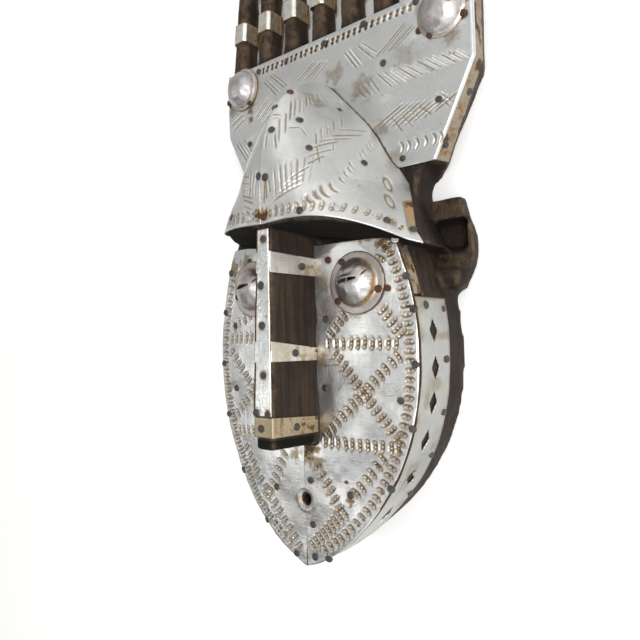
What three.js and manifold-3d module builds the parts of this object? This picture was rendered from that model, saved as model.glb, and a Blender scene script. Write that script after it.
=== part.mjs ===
// Ntomo mask: a wooden face mask with a crest of eight tines, covered in front with aluminium sheet.
// It lies on its back. X runs across it, Y from the chin up to the tines, Z out of the face.
import * as THREE from "three";
import { mergeVertices } from "three/addons/utils/BufferGeometryUtils.js";
import Module from "manifold-3d";

const wasm = await Module();
wasm.setup();

// Driving dimensions, in millimetres. Heights start at the chin, depths at the surface it lies on.
const totalHeight = 588;
const faceWidth = 190;
const rimWidth = 192;
const faceDepth = 73.5;
const faceBulge = 6;
const widestHeight = 154.5;
const faceTop = 244;
const templeRadius = 190;
const wallThickness = 13;
const cavityTop = 250;
const cavityDepth = 57;

const sheetThickness = 0.9;
const fittingGap = 0.3;
const sheetAllowance = sheetThickness + fittingGap;

const noseBottom = 89.5;
const noseProjection = 42.8;
const noseLean = 4.5;
const noseFrontHalf = { bottom: 9.2, top: 5.8 };
const noseFrontShift = -1.1;
const noseBackHalf = { bottom: 14, top: 16 };

const browHeight = 245.5;
const browHalf = 91;
const browUnderside = 234.5;
const browLift = { left: 1.5, right: 2 };
const browEnd = { left: 10, right: -17 };
const browLeftRise = 7;
const domeTop = 367;
const domeFront = 113.5;
const domeEndDepth = 61.5;
const domeShoulder = 270;
const domeSlope = 0.58;

const crestFront = 30.5;
const crestHalf = 123;
const crestFootHalf = { front: 91, rear: 94.5 };
const crestFoot = 290;
const crestShoulder = 355.5;
const crestTop = 412.5;
const crestRearHalf = 118;
const crestRearFoot = { half: 79, height: 281 };
const foldDepth = 16;

const neckHalf = 73;
const neckFront = 27.5;

const earCentre = { x: 66, height: 229.5 };
const earRadius = 44;
const earTop = 265.5;
const earFront = 12.5;
const earPocket = { bottom: 227, top: 249.5, floor: 4 };

const tineCount = 8;
const tinePitch = 32;
const tineShift = -1.8;
const tineWidth = { foot: 16.4, waist: 14.4, top: 12.4 };
const tineFoot = crestTop - 8;
const tineWaist = 443.5;
const tineKnee = 520;
const tineDepths = { back: 8.5, front: 25.5 };
const tineBevel = 2.8;
const tineFan = 0.09;
const tineBandHeights = [443.5, 490, 537.5];
const tineBandWidth = 17;

const eyes = { left: { x: -53, height: 206.5 }, right: { x: 50, height: 203.3 } };
const eyeRadius = 22;
const eyeHoleRadius = 9;
const crestBosses = { left: { x: -102.5, height: 395.5 }, right: { x: 99.5, height: 393.5 } };
const crestBossRadius = 19;
const mouthHeight = 48.5;
const mouthRadius = 5;

const stripRear = 25.5;
const stripTop = 191.5;
const templeStripRear = 55.5;
const diamondHeights = [169.2, 143.9, 120.2, 94, 67, 38, 12];
const diamondSize = { along: 17, across: 11 };

// A closed body from its corner points and triangles, turned so that its faces point out.
function closedBody(points, triangles) {
  let volume = 0;
  for (const [a, b, c] of triangles) {
    volume += points[a].dot(new THREE.Vector3().crossVectors(points[b], points[c]));
  }
  const order = volume < 0 ? triangles.map(([a, b, c]) => [a, c, b]) : triangles;
  const geometry = new THREE.BufferGeometry().setFromPoints(points);
  geometry.setIndex(order.flat());
  return geometry;
}

// A body through a row of convex rings of points, closed at both ends.
function loft(rings) {
  const count = rings[0].length;
  const points = rings.flat();
  const triangles = [];
  for (let ring = 0; ring + 1 < rings.length; ring++) {
    for (let i = 0; i < count; i++) {
      const a = ring * count + i;
      const b = ring * count + ((i + 1) % count);
      triangles.push([a, b, b + count], [a, b + count, a + count]);
    }
  }
  for (const [first, turn] of [[0, 1], [(rings.length - 1) * count, -1]]) {
    const middle = new THREE.Vector3();
    for (let i = 0; i < count; i++) middle.addScaledVector(points[first + i], 1 / count);
    points.push(middle);
    for (let i = 0; i < count; i++) {
      const pair = [first + i, first + ((i + 1) % count)];
      triangles.push(turn > 0 ? [points.length - 1, pair[1], pair[0]] : [points.length - 1, ...pair]);
    }
  }
  return closedBody(points, triangles);
}

// A thin sheet between an outer and an inner surface, both given for u and v from 0 to 1.
function sheet(columns, rows, outer, inner) {
  const points = [];
  for (const surface of [outer, inner]) {
    for (let j = 0; j <= rows; j++) {
      for (let i = 0; i <= columns; i++) points.push(surface(i / columns, j / rows));
    }
  }
  const at = (side, i, j) => (side * (rows + 1) + j) * (columns + 1) + i;
  const triangles = [];
  const quad = (a, b, c, d) => triangles.push([a, b, c], [a, c, d]);
  for (let j = 0; j < rows; j++) {
    for (let i = 0; i < columns; i++) {
      quad(at(0, i, j), at(0, i + 1, j), at(0, i + 1, j + 1), at(0, i, j + 1));
      quad(at(1, i, j), at(1, i, j + 1), at(1, i + 1, j + 1), at(1, i + 1, j));
    }
  }
  for (let i = 0; i < columns; i++) {
    quad(at(0, i, 0), at(1, i, 0), at(1, i + 1, 0), at(0, i + 1, 0));
    quad(at(0, i, rows), at(0, i + 1, rows), at(1, i + 1, rows), at(1, i, rows));
  }
  for (let j = 0; j < rows; j++) {
    quad(at(0, 0, j), at(0, 0, j + 1), at(1, 0, j + 1), at(1, 0, j));
    quad(at(0, columns, j), at(1, columns, j), at(1, columns, j + 1), at(0, columns, j + 1));
  }
  return closedBody(points, triangles);
}

function solid(geometry) {
  const bare = new THREE.BufferGeometry();
  bare.setAttribute("position", geometry.getAttribute("position"));
  bare.setIndex(geometry.getIndex());
  const merged = mergeVertices(bare, 1e-4);
  return new wasm.Manifold(new wasm.Mesh({
    numProp: 3,
    vertProperties: Float32Array.from(merged.getAttribute("position").array),
    triVerts: Uint32Array.from(merged.getIndex().array),
  }));
}

function geometryOf(body) {
  const mesh = body.getMesh();
  const geometry = new THREE.BufferGeometry();
  geometry.setAttribute("position", new THREE.BufferAttribute(Float32Array.from(mesh.vertProperties), 3));
  geometry.setIndex(Array.from(mesh.triVerts));
  return geometry;
}

const point = (x, y, z) => new THREE.Vector3(x, y, z);
const mirrored = (points) => points.map((p) => point(-p.x, p.y, p.z)).reverse();
const mix = THREE.MathUtils.lerp;
const share = (value, from, to) => THREE.MathUtils.clamp((value - from) / (to - from), 0, 1);

function blockBetween(low, high) {
  const box = new THREE.BoxGeometry(high.x - low.x, high.y - low.y, high.z - low.z);
  return solid(box.translate((low.x + high.x) / 2, (low.y + high.y) / 2, (low.z + high.z) / 2));
}

function rodAlongDepth(radius, x, height, from, to) {
  const rod = new THREE.CylinderGeometry(radius, radius, to - from, 20).rotateX(Math.PI / 2);
  return solid(rod.translate(x, height, (from + to) / 2));
}

// The almond outline of the face: half its width at a height, for its front edge or its rear rim.
function almondHalf(height, half, fullness) {
  if (height > widestHeight) return half * (1 - ((height - widestHeight) / templeRadius) ** 2);
  const below = (widestHeight - height) / widestHeight;
  return half * Math.max(0, 1 - below ** 2.25) ** fullness;
}

const frontHalf = (height) => almondHalf(height, faceWidth / 2, 0.75);
const rearHalf = (height) => almondHalf(height, rimWidth / 2, 0.95);

const faceFront = (x) => faceDepth - faceBulge * (x / (faceWidth / 2)) ** 2;

function wallHalf(height, depth) {
  const front = frontHalf(height);
  return mix(rearHalf(height), front, share(depth, 0, faceFront(front)));
}

// A ring round the almond, drawn in from it by a margin, closed flat across the top.
function almondRing(halfAt, depthAt, margin, top, shrink = 1) {
  const steps = 22;
  const middle = widestHeight;
  const right = [];
  for (let i = 0; i <= steps; i++) {
    const turn = (i / steps) * (Math.PI / 2);
    const height = mix(0, top, 1 - Math.cos(turn));
    const x = Math.max(0, halfAt(height) - margin) * shrink;
    const inset = height < widestHeight ? margin * (1 - height / widestHeight) ** 2 * 1.4 : 0;
    right.push(point(x, middle + (height + inset - middle) * shrink, 0));
  }
  right[0].x = 0;
  const ring = [...right, ...mirrored(right.slice(1))];
  for (const p of ring) p.z = depthAt(p.x);
  return ring;
}

function faceBlock() {
  const woodFront = (x) => faceFront(x) - sheetAllowance;
  return solid(loft([
    almondRing(rearHalf, () => 0, sheetAllowance, faceTop),
    almondRing(frontHalf, woodFront, sheetAllowance, faceTop),
    almondRing(frontHalf, woodFront, sheetAllowance, faceTop, 0.66),
    almondRing(frontHalf, woodFront, sheetAllowance, faceTop, 0.33),
  ]));
}

// The hollow behind the face, as a wearer's face needs it.
function faceCavity() {
  const level = (depth, margin) => almondRing(rearHalf, () => depth, margin, cavityTop);
  return solid(loft([
    level(-2, wallThickness),
    level(cavityDepth * 0.55, wallThickness + 2),
    level(cavityDepth * 0.9, wallThickness + 10),
    level(cavityDepth, wallThickness + 24),
  ]));
}

function noseSection(height, grow) {
  const rise = share(height, noseBottom, browHeight);
  const front = faceDepth + noseProjection - noseLean * rise - 2 * sheetAllowance + grow;
  const frontHalfWidth = mix(noseFrontHalf.bottom, noseFrontHalf.top, rise) - sheetAllowance + grow;
  const backHalfWidth = mix(noseBackHalf.bottom, noseBackHalf.top, rise) - sheetAllowance + grow;
  return { front, frontHalfWidth, backHalfWidth };
}

function noseBlock(grow, bottom, top) {
  const ring = (height) => {
    const { front, frontHalfWidth, backHalfWidth } = noseSection(height, grow);
    const root = faceDepth - 10;
    const right = [point(backHalfWidth, height, root), point(backHalfWidth, height, faceDepth)];
    right.push(point(frontHalfWidth, height, front));
    const outline = [...right, ...mirrored(right)];
    for (const p of outline) if (p.z > faceDepth) p.x += noseFrontShift;
    return outline;
  };
  const steps = 8;
  const heights = Array.from({ length: steps + 1 }, (_, i) => mix(bottom, top, i / steps));
  return solid(loft(heights.map(ring)));
}

// The forehead dome: half its width, the depth of its keel and the depth of its side edge.
function domeHalf(height) {
  const straight = browHalf - domeSlope * (height - browUnderside);
  const closing = share(height, 314.5, domeTop);
  return straight * (1 - closing ** 2.2) ** 0.8;
}

function domeKeel(height) {
  const closing = share(height, domeShoulder, domeTop + 1);
  return crestFront + (domeFront - crestFront) * (1 - closing ** 2.3) ** 0.55;
}

function domeEdge(height) {
  return mix(domeEndDepth, crestFront, share(height, browUnderside, browUnderside + 40));
}

function domePoint(across, height, inset) {
  const reach = Math.abs(across) ** mix(3.7, 1.6, share(height, browHeight, domeTop - 25) ** 0.85);
  const edge = domeEdge(height) - inset;
  const x = Math.max(0.2, domeHalf(height) - inset) * across;
  return point(x, height - inset * share(height, domeShoulder, domeTop), mix(domeKeel(height) - inset, edge, reach));
}

// The sheet's lower edge rises a little away from the keel, then rises further at its left end
// and drops at its right end.
function browEdge(across) {
  const away = Math.abs(across);
  const side = across < 0 ? "left" : "right";
  const lift = browLift[side] * Math.sin(Math.PI * Math.min(1, away / 0.9));
  return browHeight + lift + browEnd[side] * away ** 4.5;
}

// The underside of the brow slants up towards its left end.
const browUndersideAt = (x) => browUnderside + browLeftRise * share(-x, 6, 60);

const domeLevels = [0, 0.12, 0.26, 0.4, 0.53, 0.65, 0.75, 0.83, 0.9, 0.95, 0.985, 1];
const domeColumns = 12;

const domeSurface = (across, level, inset) => (
  domePoint(across, mix(browEdge(across), domeTop, level), inset));

function domeRing(level, inset, rear) {
  const ring = [];
  for (let i = -domeColumns; i <= domeColumns; i++) ring.push(domeSurface(i / domeColumns, level, inset));
  const [left, right] = [ring[0], ring[ring.length - 1]];
  ring.push(point(right.x * 0.96, right.y, rear), point(left.x * 0.96, left.y, rear));
  return ring;
}

function domeBlock(inset) {
  const rings = domeLevels.map((level) => domeRing(level, inset, 8));
  const underside = rings[0].map((p) => {
    const forward = share(p.z, faceDepth - 6, domeFront);
    const below = Math.min(p.y - 1, browUndersideAt(p.x) + 9 * forward);
    return point(p.x * 0.97, below + Math.min(inset, 0), p.z * 0.97 + 1);
  });
  return solid(loft([underside, ...rings]));
}

function neckBlock() {
  const outline = (depth) => {
    const right = [point(neckHalf, browUnderside - 20, depth), point(neckHalf, crestFoot - 15, depth)];
    right.push(point(crestFootHalf.front - 10, crestFoot + 8, depth));
    return [...right, ...mirrored(right)];
  };
  return solid(loft([outline(0), outline(neckFront)]));
}

function crestRing(footHalf, footHeight, half, shoulder, top, depth) {
  const right = [point(footHalf, footHeight, depth), point(half, shoulder, depth), point(half, top, depth)];
  return [...right, ...mirrored(right)];
}

// The plate is a little narrower at the front of its foot than at the rear edge of the fold.
function crestOutline(inset, depth, extra = 0) {
  const forward = share(depth, crestFront - foldDepth, crestFront);
  const footHalf = mix(crestFootHalf.rear, crestFootHalf.front, forward) - inset - extra * 0.45;
  const footHeight = crestFoot + inset * 0.5 - extra;
  return crestRing(footHalf, footHeight, crestHalf - inset, crestShoulder, crestTop + extra, depth);
}

// The plate is bevelled behind, more steeply down its sloping sides where they run to the neck.
function crestBlock() {
  const rear = crestRing(crestRearFoot.half, crestRearFoot.height, crestRearHalf, crestShoulder - 2,
    crestTop - 2, 0);
  const inFront = crestOutline(sheetAllowance, crestFront - sheetAllowance);
  const atFold = crestOutline(sheetAllowance, crestFront - foldDepth - 3);
  return solid(loft([rear, atFold, inFront]));
}

// A tine is a slat standing on edge, with its two front corners bevelled. It spreads at its foot.
const tineMiddleDepth = (tineDepths.front + tineDepths.back) / 2;

function tineHalf(height) {
  const belowWaist = share(height, tineFoot, tineWaist);
  const aboveWaist = share(height, tineWaist, totalHeight);
  return mix(mix(tineWidth.foot, tineWidth.waist, belowWaist), tineWidth.top, aboveWaist) / 2;
}

// The tines draw together a little up to their knee and stand straight above it.
function tineMiddle(index, height) {
  const fan = 1 - tineFan * share(height, tineFoot, tineKnee);
  return (index - (tineCount - 1) / 2) * tinePitch * fan + tineShift;
}

function tineRing(index, height, grow = 0) {
  const middle = tineMiddle(index, height);
  const half = tineHalf(height) - sheetAllowance + grow;
  const taper = 1 - 0.16 * share(height, tineFoot, totalHeight);
  const deep = (tineDepths.front - tineDepths.back) / 2 * taper - sheetAllowance + grow;
  const section = [[half, -deep], [half, deep - tineBevel], [half - tineBevel, deep],
    [tineBevel - half, deep], [-half, deep - tineBevel], [-half, -deep]];
  return section.map(([x, z]) => point(middle + x, height, tineMiddleDepth + z));
}

function tineBlock(index) {
  const middle = tineMiddle(index, totalHeight);
  const tip = tineRing(index, totalHeight).map((p) => (
    point(mix(p.x, middle, 0.5), p.y, mix(p.z, tineMiddleDepth, 0.5))));
  const heights = [tineFoot, tineWaist, tineKnee, totalHeight - 12];
  return solid(loft([...heights.map((height) => tineRing(index, height)), tip]));
}

// An ear is a disc beside the face with a squared upper corner. Its front is cut by a deep pocket,
// and below the pocket it thickens towards its lower end.
function earBlock() {
  const steps = 9;
  const outline = (depth, inset) => {
    const ring = [];
    for (let i = 0; i <= steps; i++) {
      const turn = mix(-0.29, 0.17, i / steps) * Math.PI;
      const radius = earRadius - inset;
      ring.push(point(earCentre.x + radius * Math.cos(turn), earCentre.height + radius * Math.sin(turn), depth));
    }
    ring.push(point(earCentre.x + earRadius * 0.79 - inset, earTop - inset, depth));
    ring.push(point(60, earTop - inset, depth), point(60, ring[0].y, depth));
    return ring;
  };
  const disc = solid(loft([outline(0, 2), outline(3, 0), outline(earFront, 0)]));
  const heel = new THREE.Shape([
    new THREE.Vector2(earPocket.bottom, earPocket.floor), new THREE.Vector2(earPocket.bottom, 9),
    new THREE.Vector2(earCentre.height - 21, 24), new THREE.Vector2(earCentre.height - 30, 21),
    new THREE.Vector2(earCentre.height - 32, earPocket.floor),
  ]);
  const wedge = new THREE.ExtrudeGeometry(heel, { depth: 32, bevelEnabled: false });
  wedge.applyMatrix4(new THREE.Matrix4().makeBasis(point(0, 1, 0), point(0, 0, 1), point(1, 0, 0)));
  const pocket = blockBetween(point(70, earPocket.bottom, earPocket.floor), point(104, earPocket.top, 40));
  return disc.subtract(pocket).add(solid(wedge.translate(70, 0, 0)));
}

function mirroredSolid(body) {
  return body.mirror([1, 0, 0]);
}

function carvedWood() {
  let wood = faceBlock().add(neckBlock()).add(crestBlock());
  const ear = earBlock();
  const ears = ear.add(mirroredSolid(ear)).subtract(domeBlock(-fittingGap));
  wood = wood.add(ears).add(domeBlock(sheetAllowance));
  wood = wood.subtract(faceCavity()).add(noseBlock(0, noseBottom, browHeight + 3));
  for (let index = 0; index < tineCount; index++) wood = wood.add(tineBlock(index));
  for (const eye of Object.values(eyes)) {
    wood = wood.subtract(rodAlongDepth(eyeHoleRadius, eye.x, eye.height, 30, 90));
  }
  return wood.subtract(rodAlongDepth(mouthRadius - 0.5, 0, mouthHeight, 30, 90));
}

// Half of the sheet over the face, cut round the nose, the mouth and the eye hole.
function faceSheet(side, eye) {
  const surface = (inset) => (u, v) => {
    const top = browUndersideAt(side * u * frontHalf(browUnderside)) - 1.5;
    const height = mix(0, top, v);
    const x = mix(fittingGap / 2, Math.max(frontHalf(height), 1), u) * side;
    return point(x, height, faceFront(x) - inset);
  };
  return solid(sheet(6, 18, surface(0), surface(sheetThickness)))
    .subtract(noseBlock(0.5, noseBottom - fittingGap, browHeight))
    .subtract(rodAlongDepth(mouthRadius, 0, mouthHeight, 50, 90))
    .subtract(rodAlongDepth(eyeHoleRadius, eye.x, eye.height, 50, 90))
    .subtract(domeBlock(-fittingGap));
}

function foreheadSheet(side) {
  const rows = domeLevels.length - 1;
  const seam = 0.004;
  const surface = (inset) => (u, v) => {
    const across = side > 0 ? Math.max(u, seam) : Math.min(u - 1, -seam);
    return domeSurface(across, domeLevels[Math.round(v * rows)], inset);
  };
  return solid(sheet(domeColumns, rows, surface(0), surface(sheetThickness)));
}

// The crest sheet lies on the plate and is folded over its sloping and upright sides.
function crestSheet() {
  const outer = solid(loft([
    crestOutline(0, crestFront - foldDepth),
    crestOutline(0, crestFront),
  ]));
  const inner = solid(loft([
    crestOutline(sheetThickness, crestFront - foldDepth - 1, 8),
    crestOutline(sheetThickness, crestFront - sheetThickness, 8),
  ]));
  const above = blockBetween(point(-200, crestTop - 1.2, 0), point(200, crestTop + 20, crestFront - 1));
  return outer.subtract(inner).subtract(above).subtract(domeBlock(-fittingGap));
}

// A strip on the side wall of the face between two heights, from its front edge to a rear depth.
function wallStrip(side, bottom, top, rear, columns) {
  const surface = (inset) => (u, v) => {
    const height = mix(bottom, top, u);
    const depth = mix(rear, faceFront(frontHalf(height)) - sheetAllowance, v);
    return point((wallHalf(height, depth) - inset) * side, height, depth);
  };
  return solid(sheet(columns, 1, surface(0), surface(sheetThickness)));
}

function diamondCut(side, height) {
  const depth = mix(stripRear, faceDepth - faceBulge, 0.5);
  const slope = Math.atan2(wallHalf(height + 2, depth) - wallHalf(height - 2, depth), 4);
  const cut = new THREE.CylinderGeometry(1, 1, 12, 4, 1);
  cut.scale(diamondSize.along / 2, 1, diamondSize.across / 2);
  cut.rotateZ(Math.PI / 2);
  cut.rotateZ(-slope);
  cut.translate(wallHalf(height, depth), height, depth);
  if (side < 0) cut.rotateY(Math.PI).translate(0, 0, 2 * depth);
  return solid(cut);
}

function sideStrip(side) {
  let strip = wallStrip(side, 5, stripTop, stripRear, 24);
  for (const height of diamondHeights) strip = strip.subtract(diamondCut(side, height));
  return strip;
}

const templeStrip = (side) => (
  wallStrip(side, stripTop + 2, browUnderside - 5, templeStripRear, 4).subtract(domeBlock(-fittingGap)));

// A band bent round the nose, with its lower and upper edges at the face and in front of the nose.
function noseBand(atFace, inFront) {
  const surface = (inset) => (u, v) => {
    const path = Math.round(u * 3);
    const front = path === 1 || path === 2;
    const height = front ? mix(inFront.low, inFront.high, v) : mix(atFace.low, atFace.high, v);
    const { front: ridge, frontHalfWidth, backHalfWidth } = noseSection(height, sheetAllowance - inset);
    const x = (path < 2 ? -1 : 1) * (front ? frontHalfWidth : backHalfWidth) + (front ? noseFrontShift : 0);
    return point(x, height, front ? ridge : faceDepth + 0.6);
  };
  return solid(sheet(3, 1, surface(0), surface(sheetThickness)));
}

function noseStrip() {
  const surface = (inset) => (u, v) => {
    const height = mix(113, browHeight - 3, v);
    const { front, frontHalfWidth } = noseSection(height, 2 * sheetAllowance - inset);
    return point(noseFrontShift + mix(-1, 1, u) * (frontHalfWidth - sheetAllowance), height, front);
  };
  return solid(sheet(1, 4, surface(0), surface(sheetThickness)));
}

// A hammered boss: a dome inside a flat ring, turned about its own axis.
function boss(radius, domeRadius, rise, x, height, base) {
  const profile = [new THREE.Vector2(0, 0), new THREE.Vector2(radius, 0), new THREE.Vector2(radius, 0.8)];
  profile.push(new THREE.Vector2(domeRadius + 1.5, 1.2));
  for (let i = 0; i <= 5; i++) {
    const turn = (i / 5) * (Math.PI / 2);
    profile.push(new THREE.Vector2(i === 5 ? 0 : domeRadius * Math.cos(turn), 1.4 + rise * Math.sin(turn)));
  }
  const turned = new THREE.LatheGeometry(profile, 18).rotateX(Math.PI / 2);
  return solid(turned.translate(x, height, base));
}

function eyeBoss(eye) {
  const base = faceFront(Math.abs(eye.x) - eyeRadius) + fittingGap;
  const slit = blockBetween(point(eye.x - 11.5, eye.height + 0.2, base + 5),
    point(eye.x + 6.5, eye.height + 2.6, base + 20));
  return boss(eyeRadius, 16.5, 11, eye.x, eye.height, base).subtract(slit);
}

const crestBoss = (spot) => (
  boss(crestBossRadius, 16, 11, spot.x, spot.height, crestFront + fittingGap));

function tineBand(index, bottom) {
  const top = bottom + tineBandWidth;
  const outer = loft([tineRing(index, bottom, sheetAllowance), tineRing(index, top, sheetAllowance)]);
  const inner = loft([tineRing(index, bottom - 1, fittingGap), tineRing(index, top + 1, fittingGap)]);
  return solid(outer).subtract(solid(inner));
}

// Finishes
const darkWood = { color: 0x3a2f28, roughness: 0.72, metalness: 0 };
const bossMetal = { color: 0xd9d8d4, roughness: 0.25, metalness: 1 };
const sheetMetal = { color: 0xc6c6c2, roughness: 0.42, metalness: 1 };
const bandMetal = { color: 0xc9c3ae, roughness: 0.4, metalness: 1 };
const rustyMetal = { color: 0x8f6f45, roughness: 0.6, metalness: 0.7 };

const mask = new THREE.Group();
mask.position.y = -totalHeight / 2;

function addPart(name, body, finish) {
  const mesh = new THREE.Mesh(geometryOf(body), new THREE.MeshStandardMaterial(finish));
  mesh.name = name;
  mask.add(mesh);
}

addPart("carved_wood", carvedWood(), darkWood);
for (const [name, side] of [["left", -1], ["right", 1]]) {
  addPart(`face_sheet_${name}`, faceSheet(side, eyes[name]), sheetMetal);
  addPart(`forehead_sheet_${name}`, foreheadSheet(side), sheetMetal);
  addPart(`side_strip_${name}`, sideStrip(side), sheetMetal);
  addPart(`temple_strip_${name}`, templeStrip(side), rustyMetal);
  addPart(`eye_boss_${name}`, eyeBoss(eyes[name]), bossMetal);
  addPart(`crest_boss_${name}`, crestBoss(crestBosses[name]), bossMetal);
}
addPart("crest_sheet", crestSheet(), sheetMetal);
addPart("nose_strip", noseStrip(), sheetMetal);
addPart("nose_band_1", noseBand({ low: 210.5, high: 223.5 }, { low: 212, high: 227 }), bandMetal);
addPart("nose_band_2", noseBand({ low: 150, high: 159 }, { low: 150, high: 164.5 }), bandMetal);
addPart("nose_band_3", noseBand({ low: 98.5, high: 110 }, { low: 98.5, high: 112.2 }), bandMetal);
for (let index = 0; index < tineCount; index++) {
  tineBandHeights.forEach((bottom, band) => {
    addPart(`tine_band_${index + 1}_${band + 1}`, tineBand(index, bottom), bandMetal);
  });
}

export default mask;
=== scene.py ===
import math

import bpy
import numpy as np
from mathutils import Matrix, Vector


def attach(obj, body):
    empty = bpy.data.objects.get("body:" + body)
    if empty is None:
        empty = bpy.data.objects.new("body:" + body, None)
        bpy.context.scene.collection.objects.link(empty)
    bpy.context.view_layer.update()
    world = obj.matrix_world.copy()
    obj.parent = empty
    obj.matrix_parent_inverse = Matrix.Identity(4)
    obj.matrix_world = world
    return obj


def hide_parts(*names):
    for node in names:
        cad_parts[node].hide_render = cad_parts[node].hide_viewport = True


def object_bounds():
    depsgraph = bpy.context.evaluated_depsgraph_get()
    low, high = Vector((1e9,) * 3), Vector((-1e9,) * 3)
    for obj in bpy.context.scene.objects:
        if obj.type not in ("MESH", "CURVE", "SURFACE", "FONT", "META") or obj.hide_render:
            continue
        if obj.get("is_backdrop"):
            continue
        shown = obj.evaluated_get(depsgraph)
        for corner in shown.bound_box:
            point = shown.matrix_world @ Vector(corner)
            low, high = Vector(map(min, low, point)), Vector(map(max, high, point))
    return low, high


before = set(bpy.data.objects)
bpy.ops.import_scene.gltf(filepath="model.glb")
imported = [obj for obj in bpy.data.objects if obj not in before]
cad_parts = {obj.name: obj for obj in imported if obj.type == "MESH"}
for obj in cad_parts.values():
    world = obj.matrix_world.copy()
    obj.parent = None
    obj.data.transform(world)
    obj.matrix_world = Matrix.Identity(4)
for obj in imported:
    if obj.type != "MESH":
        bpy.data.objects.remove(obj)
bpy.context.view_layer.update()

# Camera. It stands to the mask's right and below the middle, and looks across the face at about
# fifty degrees from the table, with the chin at the bottom of the picture.
camera_place = Vector((0.2925, -0.1311, 0.4075))
camera_right = Vector((0.77142, -0.02449, -0.63585))
camera_up = Vector((0.04233, 0.99902, 0.01288))
camera_back = Vector((0.63491, -0.03685, 0.77170))
camera_lens = 33.75

camera = bpy.data.objects.new("camera", bpy.data.cameras.new("camera"))
camera.data.lens = camera_lens
camera.data.sensor_width = 36
camera.data.clip_start = 0.01
turn = Matrix((camera_right, camera_up, camera_back)).transposed()
camera.matrix_world = Matrix.LocRotScale(camera_place, turn.to_quaternion(), None)
bpy.context.collection.objects.link(camera)
bpy.context.scene.camera = camera

# Carved wood. One block of dark hardwood holds the face shell, nose, forehead, ears, neck, crest
# plate and tines. It is cut with an adze and a knife, stained dark, and rubbed pale on its edges.
# Places are in millimetres: x from the middle, height from the chin, and depth from the table.
MM = 0.001
chin_y = -0.294
wood_grid = 2.05 * MM
wood_smoothing = 2
worn_edge_bulge = (0.04 * MM, 0.16 * MM)
shaded_hollow_bulge = (0.05 * MM, 0.16 * MM)
tool_mark_sizes = (9 * MM, 34 * MM, 9 * MM)
tool_mark_depth = 0.45 * MM
nick_sizes = (4 * MM, 8 * MM, 4 * MM)
nick_depth = 0.35 * MM
let_in_depth = 1.3 * MM
wood_dark = (0.0105, 0.0064, 0.0042, 1)
wood_brown = (0.038, 0.0235, 0.0140, 1)
wood_worn = (0.088, 0.057, 0.034, 1)
# The near-black colour of the painted shade in the wood's recesses and undersides.
wood_painted_shade = (0.004, 0.0026, 0.0018, 1)
face_under_sheet = {"depths": (60, 76), "top": 231, "nose_half": 17.5, "nose_foot": 86}
crest_under_sheet = {"depths": (29, 32), "heights": (292, 411)}
dome_under_sheet = {"foot": 248, "depth": 34, "half": 89}
nose_corner = (7.0, 92, 114)
nose_corner_size = 3.2
nose_end = {"top": 97, "depth": 77}
ear_front = {"x": 78, "heights": (196, 264), "depth": 40}
ear_pocket = {"x": (70, 105), "heights": (224, 251), "depths": (36, 22)}
brow_shade = {"foot": 215, "depth": 30}
rear_wall = {"top": 215, "depth": 24}
tine_count = 8
tine_pitch = 32.0
tine_shift = -1.8
tine_fan = 0.09
tine_foot = 404.5
tine_knee = 520.0
tine_middle_depth = 17.0
tine_swell = 1.28
tine_swell_depth = 1.36
tine_swell_heights = (413.2, 415)


def mix(low, high, share_of_way):
    return low + (high - low) * share_of_way


def share(value, low, high):
    return np.clip((value - low) / (high - low), 0, 1)


def eased(value, low, high):
    part = share(value, low, high)
    return part * part * (3 - 2 * part)


def between(value, limits):
    return (value > limits[0]) & (value < limits[1])


def in_frame(points):
    """Places in millimetres, in the metres of the frame."""
    return np.asarray(points) * MM + np.array([0, chin_y, 0])


def in_mm(points):
    """The x, height and depth of points of a mesh."""
    return points[:, 0] / MM, (points[:, 1] - chin_y) / MM, points[:, 2] / MM


def ripple(x, y, size, seed):
    """Smooth random waves from -1 to 1 over a plane, about one size apart."""
    cells = 64
    table = np.random.default_rng(seed).uniform(-1, 1, (cells, cells))
    across, along = np.asarray(x) / size, np.asarray(y) / size
    column, row = np.floor(across), np.floor(along)
    part_x, part_y = across - column, along - row
    part_x = part_x * part_x * (3 - 2 * part_x)
    part_y = part_y * part_y * (3 - 2 * part_y)
    i, j = column.astype(int) % cells, row.astype(int) % cells
    next_i, next_j = (i + 1) % cells, (j + 1) % cells
    lower = mix(table[i, j], table[next_i, j], part_x)
    upper = mix(table[i, next_j], table[next_i, next_j], part_x)
    return mix(lower, upper, part_y)


def ripple_solid(points, sizes, seed):
    """Smooth random waves in space, from three planes of waves."""
    x, y, z = (points[:, k] / sizes[k] for k in range(3))
    waves = ripple(x + 0.37 * z, y, 1, seed) + ripple(y, z + 0.21 * x, 1, seed + 1)
    return (waves + ripple(z, x + 0.29 * y, 1, seed + 2)) / 3


def attribute(mesh, name, values):
    layer = mesh.attributes.new(name, "FLOAT", "POINT")
    layer.data.foreach_set("value", np.asarray(values, dtype=np.float32).ravel())


def smooth_object(name, mesh):
    mesh.polygons.foreach_set("use_smooth", np.ones(len(mesh.polygons), dtype=bool))
    piece = bpy.data.objects.new(name, mesh)
    bpy.context.collection.objects.link(piece)
    return piece


def node_input(node, name, value):
    node.inputs[name].default_value = value


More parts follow.
